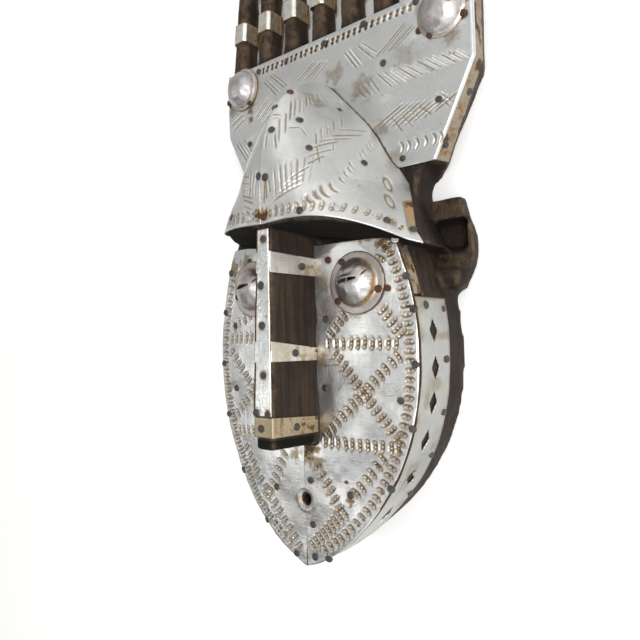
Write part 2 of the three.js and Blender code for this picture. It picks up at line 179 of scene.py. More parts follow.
class Finish:
    """A material with short calls for its nodes."""

    def __init__(self, name):
        self.material = bpy.data.materials.new(name)
        self.material.use_nodes = True
        self.tree = self.material.node_tree
        self.surface = self.tree.nodes["Principled BSDF"]
        self.place = self.add("ShaderNodeTexCoord").outputs["Object"]

    def add(self, kind, **settings):
        node = self.tree.nodes.new(kind)
        for key, value in settings.items():
            setattr(node, key, value)
        return node

    def link(self, source, target):
        self.tree.links.new(source, target)

    def noise(self, scale, detail, roughness=0.55, stretch=(1, 1, 1), shift=(0, 0, 0)):
        mapping = self.add("ShaderNodeMapping")
        node_input(mapping, "Scale", stretch)
        node_input(mapping, "Location", shift)
        self.link(self.place, mapping.inputs["Vector"])
        node = self.add("ShaderNodeTexNoise")
        node_input(node, "Scale", scale)
        node_input(node, "Detail", detail)
        node_input(node, "Roughness", roughness)
        self.link(mapping.outputs["Vector"], node.inputs["Vector"])
        return node.outputs["Fac"]

    def ramp(self, source, low, high, to_low=0.0, to_high=1.0):
        node = self.add("ShaderNodeMapRange", interpolation_type="SMOOTHSTEP")
        node_input(node, "From Min", low)
        node_input(node, "From Max", high)
        node_input(node, "To Min", to_low)
        node_input(node, "To Max", to_high)
        self.link(source, node.inputs["Value"])
        return node.outputs["Result"]

    def maths(self, operation, first, second):
        node = self.add("ShaderNodeMath", operation=operation)
        node.use_clamp = operation in ("ADD", "MULTIPLY", "MAXIMUM")
        for socket, value in zip(node.inputs, (first, second)):
            if isinstance(value, (int, float)):
                socket.default_value = value
            else:
                self.link(value, socket)
        return node.outputs["Value"]

    def blend(self, amount, first, second):
        node = self.add("ShaderNodeMix", data_type="RGBA")
        slots = [s for s in node.inputs if s.type == "RGBA"]
        for socket, value in zip(slots, (first, second)):
            if isinstance(value, tuple):
                socket.default_value = value
            else:
                self.link(value, socket)
        self.link(amount, node.inputs["Factor"])
        return next(s for s in node.outputs if s.type == "RGBA")

    def mark(self, name):
        """The values that a mesh stores under this name, point by point."""
        return self.add("ShaderNodeAttribute", attribute_name=name).outputs["Fac"]

    def bump(self, height, distance, under=None):
        node = self.add("ShaderNodeBump")
        node_input(node, "Distance", distance)
        self.link(height, node.inputs["Height"])
        if under is not None:
            self.link(under, node.inputs["Normal"])
        return node.outputs["Normal"]


def wood_finish():
    wood = Finish("dark_stained_wood")
    grain = wood.noise(260, 5, 0.62, stretch=(1, 0.07, 1))
    fibres = wood.noise(1100, 3, 0.6, stretch=(1, 0.04, 1))
    patches = wood.noise(22, 4, 0.6)
    worn = wood.mark("worn")
    scuffed = wood.maths("MULTIPLY", worn, wood.ramp(wood.noise(130, 4, 0.65), 0.35, 0.62))
    colour = wood.blend(wood.ramp(grain, 0.33, 0.7), wood_dark, wood_brown)
    colour = wood.blend(wood.ramp(patches, 0.4, 0.75, 0, 0.75), colour, wood_dark)
    colour = wood.blend(scuffed, colour, wood_worn)
    # Painted shade: the wood goes near black under the brow, at the nose's end, in the ear pocket, at the
    # back and in hollows.
    colour = wood.blend(wood.mark("painted_shade"), colour, wood_painted_shade)
    wood.link(colour, wood.surface.inputs["Base Color"])
    shade_roughness = wood.ramp(wood.mark("painted_shade"), 0.2, 1.0, 0.0, 1.0)
    rough = wood.maths("MAXIMUM", wood.ramp(patches, 0.3, 0.7, 0.5, 0.72), shade_roughness)
    wood.link(rough, wood.surface.inputs["Roughness"])
    node_input(wood.surface, "Specular IOR Level", 0.2)
    height = wood.maths("ADD", wood.maths("MULTIPLY", grain, 0.7), wood.maths("MULTIPLY", fibres, 0.3))
    wood.link(wood.bump(height, 0.0009), wood.surface.inputs["Normal"])
    return wood.material


def edge_lists(mesh):
    pairs = np.empty(len(mesh.edges) * 2, dtype=np.int64)
    mesh.edges.foreach_get("vertices", pairs)
    return pairs.reshape(-1, 2)


def neighbour_mean(values, pairs, count):
    total = np.zeros_like(values)
    for a, b in ((0, 1), (1, 0)):
        for k in range(values.shape[1]):
            total[:, k] += np.bincount(pairs[:, a], values[pairs[:, b], k], len(values))
    return total / count[:, None]


def under_sheet(points, normals, edges):
    """Where the wood is let in a little, out of sight under the sheets of the front."""
    x, height, deep = in_mm(points)
    wide = np.abs(x)
    beside_nose = (wide > face_under_sheet["nose_half"]) | (height < face_under_sheet["nose_foot"])
    face = between(deep, face_under_sheet["depths"]) & (height < face_under_sheet["top"]) & beside_nose
    crest = between(deep, crest_under_sheet["depths"]) & between(height, crest_under_sheet["heights"])
    dome = (height > dome_under_sheet["foot"]) & (deep > dome_under_sheet["depth"])
    dome &= (wide < dome_under_sheet["half"]) & (normals[:, 2] > 0.25)
    return (dome | ((face | crest) & (normals[:, 2] > 0.85))) & (edges < 0.15)


def tine_spacing(height):
    """The tines lean together a little on their way up."""
    return tine_pitch * (1 - tine_fan * share(height, tine_foot, tine_knee))


def tine_middle(index, height):
    return (index - (tine_count - 1) / 2) * tine_spacing(height) + tine_shift


def swell_tines(points):
    """Above the crest plate the wood stands proud of its solid, about flush with the bands."""
    x, height, deep = in_mm(points)
    index = np.round((x - tine_shift) / tine_spacing(height) + (tine_count - 1) / 2)
    middle = tine_middle(np.clip(index, 0, tine_count - 1), height)
    grown = share(height, *tine_swell_heights)
    points[:, 0] += MM * (x - middle) * (tine_swell - 1) * grown
    points[:, 2] += MM * (deep - tine_middle_depth) * (tine_swell_depth - 1) * grown


def worn_places(points, normals, edges):
    """How pale the wood is: on its worn edges, with a painted highlight at the nose's corner, and on the
    front of the ear.
    """
    x, height, deep = in_mm(points)
    corner = in_frame(nose_corner)
    away = np.linalg.norm(points - corner, axis=1)
    # Painted highlight: a small pale spot at the nose's corner, which also lifts the painted shade at the
    # nose's end.
    corner_highlight = np.exp(-(away / (nose_corner_size * MM)) ** 2)
    handled = 0.45 * (x > ear_front["x"]) * between(height, ear_front["heights"])
    handled = handled * (deep < ear_front["depth"]) * (normals[:, 2] > 0.4)
    return np.maximum.reduce([edges, corner_highlight, handled]), corner_highlight


def painted_shade_places(points, normals, bulge, corner_highlight):
    """How dark the painted shade makes the wood: under the brow, on the nose's end, in the ear, behind and
    in hollows.
    """
    x, height, deep = in_mm(points)
    under_brow = (height > brow_shade["foot"]) * (deep > brow_shade["depth"])
    under_brow = under_brow * share(-normals[:, 1], 0.3, 0.8)
    end = (1 - 0.8 * corner_highlight) * (height < nose_end["top"]) * (deep > nose_end["depth"])
    pocket = between(x, ear_pocket["x"]) * between(height, ear_pocket["heights"])
    pocket = 0.75 * pocket * share(deep, *ear_pocket["depths"])
    hollow = pocket + 0.5 * share(-bulge, *shaded_hollow_bulge)
    rear = 0.4 * (deep < rear_wall["depth"]) * (height < rear_wall["top"])
    return np.clip(np.maximum.reduce([under_brow, end, hollow, rear]), 0, 1)


def carved(name, source):
    """A fine, slightly uneven copy of a solid, with rounded edges that know how worn they are."""
    work = bpy.data.objects.new(name + "_work", source.data.copy())
    bpy.context.collection.objects.link(work)
    grid = work.modifiers.new("grid", "REMESH")
    grid.mode = "VOXEL"
    grid.voxel_size = wood_grid
    seen = work.evaluated_get(bpy.context.evaluated_depsgraph_get())
    mesh = bpy.data.meshes.new_from_object(seen)
    bpy.data.objects.remove(work)
    count = len(mesh.vertices)
    points = np.empty(count * 3)
    mesh.vertices.foreach_get("co", points)
    points = points.reshape(-1, 3)
    pairs = edge_lists(mesh)
    links = np.bincount(pairs.ravel(), minlength=count)
    for _ in range(wood_smoothing):
        points = mix(points, neighbour_mean(points, pairs, links), 0.5)
    mesh.vertices.foreach_set("co", points.ravel())
    mesh.update()
    normals = np.empty(count * 3)
    mesh.vertices.foreach_get("normal", normals)
    normals = normals.reshape(-1, 3)
    bulge = ((points - neighbour_mean(points, pairs, links)) * normals).sum(axis=1)[:, None]
    for _ in range(wood_smoothing):
        bulge = mix(bulge, neighbour_mean(bulge, pairs, links), 0.6)
    bulge = bulge.ravel()
    edges = share(bulge, *worn_edge_bulge)
    marks = ripple_solid(points, tool_mark_sizes, 3)
    nicks = ripple_solid(points, nick_sizes, 11)
    inward = tool_mark_depth * eased(marks, -0.1, 0.5)
    inward += nick_depth * edges * eased(nicks, 0.0, 0.35)
    inward += let_in_depth * under_sheet(points, normals, edges)
    points -= normals * inward[:, None]
    swell_tines(points)
    mesh.vertices.foreach_set("co", points.ravel())
    mesh.update()
    mesh.materials.clear()
    worn, corner_highlight = worn_places(points, normals, edges)
    attribute(mesh, "worn", worn)
    attribute(mesh, "painted_shade", painted_shade_places(points, normals, bulge, corner_highlight))
    return smooth_object(name, mesh)


wood_look = wood_finish()
wood = carved("wood_carving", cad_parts["carved_wood"])
wood.data.materials.append(wood_look)
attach(wood, "root")
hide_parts("carved_wood")

# Face sheets. Two halves of thin aluminium sheet are hammered over the face and meet down its
# middle, the right one on top. Rows of punched marks run over them, and nails hold them down.
sheet_grid = 0.56
sheet_thickness = 0.9
face_half = 95.0
face_depth = 73.5
face_bulge = 6.0
widest_height = 154.5
face_sheet_top = 233.0
seam_gap = 0.15
seam_lap = 0.35
edge_roll = 1.4
temple_radius = 190.0
brow_left_rise = 7.0
brow_right_drop = 0.8
nose_bottom = 89.5
nose_back_halves = (14, 16)
nose_lap = {"side": 2.5, "foot": 2}
brow_height = 245.5
mouth_height = 48.5
mouth_radius = 4.6
mouth_rim_radius = 8.2
eye_radius = 22.0
eye_hole_radius = 9.0
mark_length = 8.4
mark_half_width = 2.0
mark_depth = 1.0
border_heights = (9, 229)
border_inset = 6.4
border_count = 40
border_mark_length = 6.6


def outline_half(height, widest, closing):
    """Half the width of the face: an arc of a parabola above its widest place, an oval below."""
    above = widest * (1 - ((height - widest_height) / temple_radius) ** 2)
    below = share((widest_height - height) / widest_height, 0, 1)
    return np.where(height > widest_height, above, widest * (1 - below ** 2.25) ** closing)


def front_half(height):
    return outline_half(height, face_half, 0.75)


def face_front(x):
    """The depth of the face at x, which is the same at every height."""
    return face_depth - face_bulge * (x / face_half) ** 2


def nose_back_half(height):
    return mix(*nose_back_halves, share(height, nose_bottom, brow_height))


def open_edges(quads, count):
    """The edges that only one face has, each running the way that its face does."""
    sides = np.concatenate([quads[:, [a, (a + 1) % 4]] for a in range(4)])
    names = np.sort(sides, axis=1) @ np.array([count, 1])
    _, first, times = np.unique(names, return_index=True, return_counts=True)
    return sides[first[times == 1]]


def quad_mesh(name, points, quads):
    """A mesh of four-sided faces between places in millimetres."""
    made = bpy.data.meshes.new(name)
    made.vertices.add(len(points))
    made.vertices.foreach_set("co", in_frame(points).ravel())
    made.loops.add(quads.size)
    made.loops.foreach_set("vertex_index", quads.ravel().astype(np.int32))
    made.polygons.add(len(quads))
    made.polygons.foreach_set("loop_start", np.arange(0, quads.size, 4, dtype=np.int32))
    made.update(calc_edges=True)
    made.validate()
    return made


class BeatenSheet:
    """A grid of points over a sheet, in millimetres, with marks beaten into it.

    depth_at gives the sheet's depth at an x and a height, for the marks that are set there.
    """

    def __init__(self, points, depth_at=None):
        self.shape = points.shape[:2]
        self.flat = points.reshape(-1, 3)
        self.depth_at = depth_at
        along, across = np.gradient(points, axis=0), np.gradient(points, axis=1)
        normals = np.cross(across, along).reshape(-1, 3)
        length = np.linalg.norm(normals, axis=1, keepdims=True)
        self.normals = normals / np.maximum(length, 1e-9)
        self.lift = np.zeros(len(self.flat))
        self.beads = np.zeros(len(self.flat))
        self.stain = np.zeros(len(self.flat))

    def at(self, spot):
        return np.array([spot[0], spot[1], float(self.depth_at(spot[0], spot[1]))])

    def frame_at(self, spot, turn):
        """The place of a spot, and two directions in the sheet there, the first at that turn."""
        centre = self.at(spot)
        step = np.array([math.cos(turn), math.sin(turn)]) * 0.5
        first = self.at((spot[0] + step[0], spot[1] + step[1])) - centre
        side = self.at((spot[0] - step[1], spot[1] + step[0])) - centre
        first /= np.linalg.norm(first)
        side -= first * side.dot(first)
        return centre, first, side / np.linalg.norm(side)

    def close(self, centre, reach):
        """The points near a place, and how far each is from it."""
        away = self.flat - centre
        near = np.flatnonzero((np.abs(away) < reach).all(axis=1))
        return near, away[near]

    def local(self, spot, turn, reach):
        """The points near a spot, and how far each lies along and across that turn."""
        centre, first, side = self.frame_at(spot, turn)
        near, away = self.close(centre, reach)
        return near, away @ first, away @ side

    def press(self, near, amount, stain):
        """Lifts or sinks some points, and stains them at least this much."""
        self.lift[near] += amount
        self.stain[near] = np.maximum(self.stain[near], stain)

    def brown(self, stain):
        """Stains the whole sheet at least this much."""
        self.stain = np.maximum(self.stain, stain)

    def punch(self, spot, turn, stain, length=mark_length, teeth=3, wide=mark_half_width):
        """A shallow dent with round beads in a row, brown between them, and browner along its right side as
        painted shade.
        """
        turn -= math.pi * (math.sin(turn) > 0)
        near, along, across = self.local(spot, turn, length)
        half = length / 2
        body = np.exp(-(along / half) ** 6 - (across / wide) ** 4)
        beads, dark = np.zeros(len(near)), np.zeros(len(near))
        for tooth in range(teeth):
            middle = length * ((tooth + 0.5) / teeth - 0.5) * 0.96
            away = np.hypot((along - middle) * 2.5 * teeth / length, (across + 0.1) * 2.1 / wide)
            beads = np.maximum(beads, np.exp(-(away / 1.05) ** 3))
            # Painted shade: the brown crescents round the beads fall only on their right side.
            bow = np.exp(-((away - 1.5) / 0.62) ** 2) * share(across, -1.2, 0.3)
            dark = np.maximum(dark, bow)
        edge = np.hypot(along / (half + 0.5), across / (wide + 0.6))
        rim = np.exp(-((edge - 1) / 0.17) ** 2)
        left_edge = np.exp(-((across + wide * 0.95) / 0.5) ** 2 - (along / half) ** 6)
        dark = np.maximum(dark, 0.5 * left_edge) + 0.42 * body * (1 - beads)
        self.beads[near] = np.maximum(self.beads[near], beads)
        self.press(near, 0.30 * rim - mark_depth * (0.75 * body - 0.80 * beads), stain * dark)

    def groove(self, start, end, stain, width=0.62, depth=0.55):
        """A straight cut of a chisel, pointed at both ends."""
        turn = math.atan2(end[1] - start[1], end[0] - start[0])
        middle = ((start[0] + end[0]) / 2, (start[1] + end[1]) / 2)
        half = np.linalg.norm(self.at(end) - self.at(start)) / 2
        near, along, across = self.local(middle, turn, half + 3)
        fade = share((half - np.abs(along)) / (0.25 * half + 0.6), 0, 1) ** 0.6
        cut = np.exp(-(across / width) ** 2) * fade
        burr = np.exp(-((np.abs(across) - 2.1 * width) / width) ** 2) * fade
        self.press(near, 0.22 * depth * burr - depth * cut, stain * cut)

    def crescent(self, spot, turn, radius, sweep, width, depth, stain):
        """A curved cut of a gouge, opening away from its turn."""
        near, along, across = self.local(spot, turn, radius * 2 + 3)
        angle = np.arctan2(across, along + radius)
        away = np.hypot(along + radius, across) - radius
        fade = share((sweep - np.abs(angle)) / 0.5, 0, 1) ** 0.7
        cut = np.exp(-(away / (width * (0.5 + 0.5 * fade))) ** 2) * fade
        burr = np.exp(-((away - 1.9 * width) / width) ** 2) * fade
        self.press(near, 0.35 * depth * burr - depth * cut, stain * cut)

    def ring(self, spot, radius, squash, turn, width, depth, stain):
        """An oval cut."""
        near, along, across = self.local(spot, turn, radius * 2.2 + 2)
        away = np.hypot(along * squash, across) - radius
        cut = np.exp(-(away / width) ** 2)
        self.press(near, -depth * cut, stain * cut)

    def dot(self, spot, radius, depth, stain):
        """A round pit with a low rim."""
        near, along, across = self.local(spot, 0, radius * 3 + 1)
        away = np.hypot(along, across)
        pit = np.exp(-(away / radius) ** 3)
        rim = np.exp(-((away - radius * 1.75) / (radius * 0.5)) ** 2)
        self.press(near, 0.22 * depth * rim - depth * pit, stain * pit)

    def nail_seat(self, spot, stain=0.3):
        """The sheet sinks a little round a nail, and browns there."""
        near, along, across = self.local(spot, 0, 9)
        away = np.hypot(along, across)
        self.press(near, -0.4 * np.exp(-(away / 4.4) ** 2), stain * np.exp(-(away / 3.6) ** 4))

    def patch(self, spot, radius, strength, squash=1.0):
        """A brown stain with a ragged edge, squashed to a flat oval where asked."""
        near, away = self.close(self.at(spot), radius * 1.6)
        ragged = ripple(self.flat[near, 0], self.flat[near, 1], radius * 0.3, 5)
        fine = ripple(self.flat[near, 0], self.flat[near, 1], 1.6, 6)
        away[:, 1] *= squash
        reach = np.linalg.norm(away, axis=1) / radius + 0.3 * ragged + 0.16 * fine
        self.stain[near] = np.maximum(self.stain[near], strength * (1 - eased(reach, 0.2, 1.0)))

    def darken(self, spot, radius):
        """Black grime on the beads of the marks round a spot, which leaves less between them."""
        near, away = self.close(self.at(spot), radius)
        fade = 1 - eased(np.linalg.norm(away, axis=1) / radius, 0.6, 1)
        grime = 0.95 * fade * eased(self.beads[near], 0.4, 0.75)
        self.stain[near] = np.maximum(self.stain[near] * (1 - 0.55 * fade), grime)

    def hammer(self, blows, side=0):
        """Waves beaten into the whole sheet, each set with its size, height and seed."""
        x, y = self.flat[:, 0], self.flat[:, 1] + 0.6 * self.flat[:, 2]
        for size, height, seed in blows:
            self.lift += height * ripple(x, y, size, seed + side)

    def nails(self, spots):
        """Where nails at these spots stand, which way they point, and what they look like."""
        found = []
        for spot in spots:
            k = int(np.argmin(np.linalg.norm(self.flat - self.at(spot), axis=1)))
            kind = spot[2] if len(spot) > 2 else "dark"
            found.append((self.flat[k] + self.normals[k] * self.lift[k], self.normals[k], kind))
        return found

    def row(self, start, end, count, mark):
        """Marks at nearly even steps between two spots, each set across the row."""
        chance = np.random.default_rng(int(abs(start[0] * 31 + start[1] * 17)))
        turn = math.atan2(end[1] - start[1], end[0] - start[0]) + math.pi / 2
        for k in range(count):
            part = k / max(count - 1, 1)
            slip = chance.uniform(-0.45, 0.45, 2)
            spot = (mix(start[0], end[0], part) + slip[0], mix(start[1], end[1], part) + slip[1])
            mark(spot, turn + chance.uniform(-0.1, 0.1))

    def mesh(self, name, keep):
        """The sheet as a mesh, with a turned-in edge as deep as the sheet is thick."""
        points = self.flat + self.normals * self.lift[:, None]
        rows, columns = self.shape
        index = np.arange(rows * columns).reshape(rows, columns)
        quads = np.stack([index[:-1, :-1], index[:-1, 1:], index[1:, 1:], index[1:, :-1]], axis=-1)
        quads = quads.reshape(-1, 4)
        if keep is not None:
            quads = quads[keep[quads].all(axis=1)]
        rim = open_edges(quads, len(points))
        outline = np.unique(rim)
        lower = np.full(len(points), -1)
        lower[outline] = len(points) + np.arange(len(outline))
        hem = points[outline] - self.normals[outline] * sheet_thickness
        walls = np.stack([rim[:, 1], rim[:, 0], lower[rim[:, 0]], lower[rim[:, 1]]], axis=-1)
        points = np.concatenate([points, hem])
        stain = np.concatenate([self.stain, self.stain[outline]])
        quads = np.concatenate([quads, walls])
        used = np.unique(quads)
        renamed = np.full(len(points), -1)
        renamed[used] = np.arange(len(used))
        made = quad_mesh(name, points[used], renamed[quads])
        attribute(made, "stain", share(stain[used], 0, 1))
        return smooth_object(name, made)

    def replace(self, node, look, slot, keep=None):
        """The finished sheet, standing in for its plain piece."""
        piece = self.mesh("beaten_" + node, keep)
        piece.data.materials.append(look)
        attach(piece, "root")
        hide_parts(node)


def metal_finish(name, bright, dull, haze, rust, rough, grime=0.5, amber=(0.150, 0.086, 0.043, 1)):
    """Aluminium with scratches and dull patches. The stain takes it through haze and amber to brown."""
    metal = Finish(name)
    stain = metal.mark("stain")
    broad = metal.noise(26, 5, 0.6)
    fine = metal.noise(420, 4, 0.7)
    specks = metal.noise(170, 5, 0.7, shift=(3, 1, 2))
    scratch_a = metal.noise(900, 2, 0.5, stretch=(1, 0.05, 0.3))
    scratch_b = metal.noise(800, 2, 0.5, stretch=(0.06, 1, 0.3), shift=(1, 4, 2))
    dirty = metal.maths("ADD", stain, metal.ramp(specks, 0.62, 0.74, 0, grime))
    dirty = metal.maths("MULTIPLY", dirty, metal.ramp(fine, 0.25, 0.6, 0.6, 1.0))
    colour = metal.blend(metal.ramp(broad, 0.38, 0.66), bright, dull)
    colour = metal.blend(metal.ramp(dirty, 0.02, 0.42, 0, 0.85), colour, haze)
    colour = metal.blend(metal.ramp(dirty, 0.44, 0.66, 0, 0.9), colour, amber)
    colour = metal.blend(metal.ramp(dirty, 0.58, 0.78, 0, 0.97), colour, rust)
    metal.link(colour, metal.surface.inputs["Base Color"])
    metal.link(metal.ramp(dirty, 0.35, 0.9, 1.0, 0.15), metal.surface.inputs["Metallic"])
    rough_base = metal.ramp(broad, 0.3, 0.7, rough, rough + 0.12)
    rough_now = metal.maths("ADD", rough_base, metal.ramp(dirty, 0.1, 0.8, 0, 0.35))
    metal.link(rough_now, metal.surface.inputs["Roughness"])
    half_a, half_b = metal.maths("MULTIPLY", scratch_a, 0.5), metal.maths("MULTIPLY", scratch_b, 0.5)
    scratched = metal.bump(metal.maths("ADD", half_a, half_b), 0.00022)
    metal.link(metal.bump(fine, 0.0002, scratched), metal.surface.inputs["Normal"])
    return metal.material


old_rust = (0.036, 0.020, 0.012, 1)
sheet_look = metal_finish("hammered_aluminium", bright=(0.70, 0.705, 0.705, 1), dull=(0.54, 0.55, 0.56, 1),
                          haze=(0.27, 0.198, 0.113, 1), amber=(0.18, 0.105, 0.047, 1), rust=old_rust,
                          rough=0.28)


def sheet_top(x):
    """The top of the face sheets follows the underside of the forehead, higher on the left."""
    return face_sheet_top + brow_left_rise * share(-x, 6, 60) - brow_right_drop * share(x, 40, 90)


def face_grid(side):
    """Half of the face, as rows of points from the chin up, rolled back a little at its edge."""
    rows = int(face_sheet_top / sheet_grid)
    columns = int(face_half / sheet_grid)
    level = np.linspace(0.0, 1.0, rows + 1)[:, None]
    part = np.linspace(0, 1, columns + 1)[None, :]
    height = level * sheet_top(side * part * front_half(face_sheet_top))
    half = np.maximum(front_half(height), 0.6)
    x = mix(seam_gap, half, part)
    from_edge = half - x
    slope = np.gradient(front_half(height), axis=0) / np.gradient(height, axis=0)
    from_edge = from_edge / np.sqrt(1 + slope ** 2)
    roll = share(1 - from_edge / edge_roll, 0, 1)
    depth = face_front(x) - 0.35 * roll ** 2
    if side > 0:
        depth = depth + seam_lap * share(1 - (x - seam_gap) / 5, 0, 1) ** 0.5 * (height < nose_bottom)
    points = np.stack([x * side, height, depth], axis=-1)
    return points if side > 0 else points[:, ::-1]


def border_row(sheet, side, stain):
    """Marks of two teeth that follow the outline of the face, evenly spaced along it."""
    heights = np.linspace(*border_heights, 700)
    half = front_half(heights)
    slope = np.gradient(half, heights)
    length = np.sqrt(1 + slope ** 2)
    x, y = half - border_inset / length, heights + border_inset * slope / length
    way = np.concatenate([[0], np.cumsum(np.hypot(np.diff(x), np.diff(y)))])
    for part in np.linspace(0, way[-1], border_count):
        k = min(int(np.searchsorted(way, part)), len(x) - 1)
        if x[k] < 4 or y[k] > border_heights[1]:
            continue
        turn = math.atan2(1.0, float(slope[k])) + math.pi / 2
        if side < 0:
            turn = math.pi - turn
        sheet.punch((x[k] * side, y[k]), turn, length=border_mark_length, teeth=2, stain=stain)


def drop_round(sheet, centre, radius):
    """Cuts a round hole, and moves the points at its edge onto the circle."""
    away = sheet.flat[:, :2] - np.array(centre)
    distance = np.maximum(np.hypot(away[:, 0], away[:, 1]), 1e-6)
    inside = distance < radius - 0.75 * sheet_grid
    close = (distance < radius + 0.25 * sheet_grid) & ~inside
    push = (radius / distance)[:, None]
    sheet.flat[close, :2] = np.array(centre) + away[close] * push[close]
    return ~inside


def mark_row(sheet, start, end, count, stain):
    sheet.row(start, end, count, lambda spot, turn: sheet.punch(spot, turn, stain=stain))


def press_round_mouth(sheet):
    """The sheet dips into the mouth, inside a low rim, and is brown at the hole."""
    from_mouth = np.hypot(sheet.flat[:, 0], sheet.flat[:, 1] - mouth_height)
    sheet.lift -= 1.1 * np.exp(-((from_mouth - mouth_radius) / 1.6) ** 2)
    sheet.lift += 0.5 * np.exp(-((from_mouth - mouth_rim_radius) / 1.4) ** 2)
    sheet.brown(0.8 * (from_mouth < mouth_radius + 0.7))


def settle(sheet, eye):
    """The sheet lies close at its outline and under the eye boss. Its outline and seam are darkened as a
    painted shadow of the gaps there.
    """
    x, height = sheet.flat[:, 0], sheet.flat[:, 1]
    from_edge = front_half(height) - np.abs(x)
    sheet.lift[from_edge < 0.9] = np.minimum(sheet.lift[from_edge < 0.9], 0)
    # Painted shadow: dark lines along the outline and down the seam stand for the gaps there.
    sheet.brown(1.0 * (from_edge < 0.45) * (height > 50))
    sheet.brown(0.75 * (np.abs(x) < 0.3))
    from_eye = np.hypot(x - eye[0], height - eye[1])
    sheet.lift = np.minimum(sheet.lift, np.maximum(0.12 * (from_eye - eye_radius), 0))


def cut_face(sheet, eye):
    """Cuts the mouth, a hole under the eye boss and the nose's place, and tells what is left."""
    keep = drop_round(sheet, (0, mouth_height), mouth_radius)
    keep &= drop_round(sheet, eye, eye_hole_radius)
    x, height = sheet.flat[:, 0], sheet.flat[:, 1]
    under_nose = np.abs(x) < nose_back_half(height) - nose_lap["side"]
    return keep & ~(under_nose & (height > nose_bottom + nose_lap["foot"]))


# Rows of marks by their first and last places and their number, then nails by place and kind,
# stains by place, size and strength, and black grime by place and size.
face_blows = ((38, 1.2, 21), (15, 0.5, 31), (6, 0.12, 41))
eyes = {"left": (-53.0, 206.5), "right": (50.0, 203.3)}
mark_stain = {"left": 0.46, "right": 0.62}
face_rows = {
    "right": [((38, 181), (27, 169), 4), ((69, 184), (83, 167), 5), ((25, 162), (79, 161), 10),
              ((30, 154), (77, 99), 14), ((80, 152), (22, 98), 14), ((19, 92), (78, 91), 11),
              ((12, 73), (31, 47), 6), ((66, 83), (45, 58), 6), ((35, 44), (6, 15), 9),
              ((69, 218), (77, 230), 3)],
    "left": [((-38, 181), (-27, 169), 4), ((-57, 186), (-78, 177), 4), ((-81, 168), (-25, 167), 10),
             ((-80, 157), (-30, 99), 13), ((-80, 102), (-28, 152), 13), ((-80, 92), (-20, 95), 11),
             ((-20, 79), (-43, 38), 8), ((-66, 79), (-8, 13), 13), ((-69, 216), (-75, 226), 2)],
}
face_nails = {
    "right": [(3.4, 86, "rusty"), (5.4, 62.5), (5.8, 31), (7, 8), (21, 8), (40, 56.5), (72, 64),
              (89, 105), (92, 147), (91.5, 183), (87, 205), (80, 230, "bright"), (81, 123), (20, 130),
              (26.5, 221, "rusty"), (73.5, 198, "rusty"), (22, 179)],
    "left": [(-10.5, 7), (-30, 53), (-42, 26), (-77, 127), (-56, 229), (-76.5, 178),
             (-72, 60), (-88, 105), (-92, 147), (-90, 190), (-81, 222), (-22, 100), (-22, 190)],
}
face_stains = {
    "right": [((72, 231), 10, 0.8), ((60, 233), 10, 0.6, 2.0), ((19, 205), 13, 0.33), ((17, 150), 9, 0.42),
              ((19, 100), 8, 0.42), ((4, 84), 13, 0.8), ((40, 52), 5, 0.65), ((37, 65), 2.4, 0.95),
              ((86, 215), 7, 0.3), ((28, 190), 14, 0.28), ((48, 182), 8, 0.3), ((12, 76), 9, 0.5),
              ((70, 124), 10, 0.2), ((3, 51), 6, 0.3), ((17, 178), 9, 0.35), ((14, 38), 44, 0.17),
              ((50, 174), 15, 0.14)],
    "left": [((-78, 226), 10, 0.6), ((-20, 140), 9, 0.4), ((-60, 60), 14, 0.25), ((-84, 130), 10, 0.3),
             ((-10, 80), 9, 0.4), ((-8, 48), 6, 0.35), ((-60, 226), 12, 0.5), ((-14, 38), 44, 0.17)],
}
face_grime = {
    "right": [((24, 164), 14), ((24, 101), 11), ((52, 36), 11), ((70, 60), 7), ((76, 229), 10),
              ((15, 74), 6)],
    "left": [((-28, 166), 12), ((-72, 217), 12), ((-30, 24), 9)],
}

sides = (("left", -1), ("right", 1))
# Where the nails of each group stand, filled in sheet by sheet and used in the last section.
nail_places = {"face_nails": [], "forehead_nails": [], "crest_nails": [], "side_nails": [],
               "nose_nails": [], "boss_nails": []}
for side_name, side in sides:
    sheet = BeatenSheet(face_grid(side), lambda x, height: face_front(x))
    sheet.hammer(face_blows, side)
    for start, end, count in face_rows[side_name]:
        mark_row(sheet, start, end, count, mark_stain[side_name])
    border_row(sheet, side, mark_stain[side_name])
    for spot, radius in face_grime[side_name]:
        sheet.darken(spot, radius)
    for spot in face_nails[side_name]:
        sheet.nail_seat(spot)
    for spot, radius, strength, *flat in face_stains[side_name]:
        sheet.patch(spot, radius, strength, squash=flat[0] if flat else 1)
    press_round_mouth(sheet)
    settle(sheet, eyes[side_name])
    keep = cut_face(sheet, eyes[side_name])
    sheet.replace("face_sheet_" + side_name, sheet_look, "sheet_aluminium", keep)
    nail_places["face_nails"] += sheet.nails(face_nails[side_name])

# Forehead sheets. Two more halves of sheet are drawn over the forehead dome and meet on its keel.
# Chisel cuts, gouge cuts and a row of beaded marks along the brow decorate them.
brow_half = 91.0
brow_underside = 234.5
dome_top = 367.0
dome_keel = 113.5
dome_slope = 0.58
dome_shoulder = 314.5
dome_end_depth = 61.5
keel_shoulder = 270
keel_top = 350
brow_lift = {"left": 1.5, "right": 1.3}
brow_end = {"left": 10, "right": -20}
crest_front = 30.5
dome_columns = 172
dome_rows = 240
brow_dots = {"first": 8.0, "last": 89, "step": 5.5, "rise": 6.2}
side_edge_ridge = {"foot": 300, "from_edge": 1.7, "lift": 0.5}
side_edge_flare = {"width": 4.5, "heights": (298, 284), "lift": 2.1}
golden_reflection_foot = {"width": (3.0, 2.0), "top": (260, 257), "bottom": (230, 235), "line": 256}
dome_blows = ((42, 0.9, 51), (16, 0.4, 61), (6, 0.1, 71))
dome_haze = (0.25, 0.200, 0.130, 1)
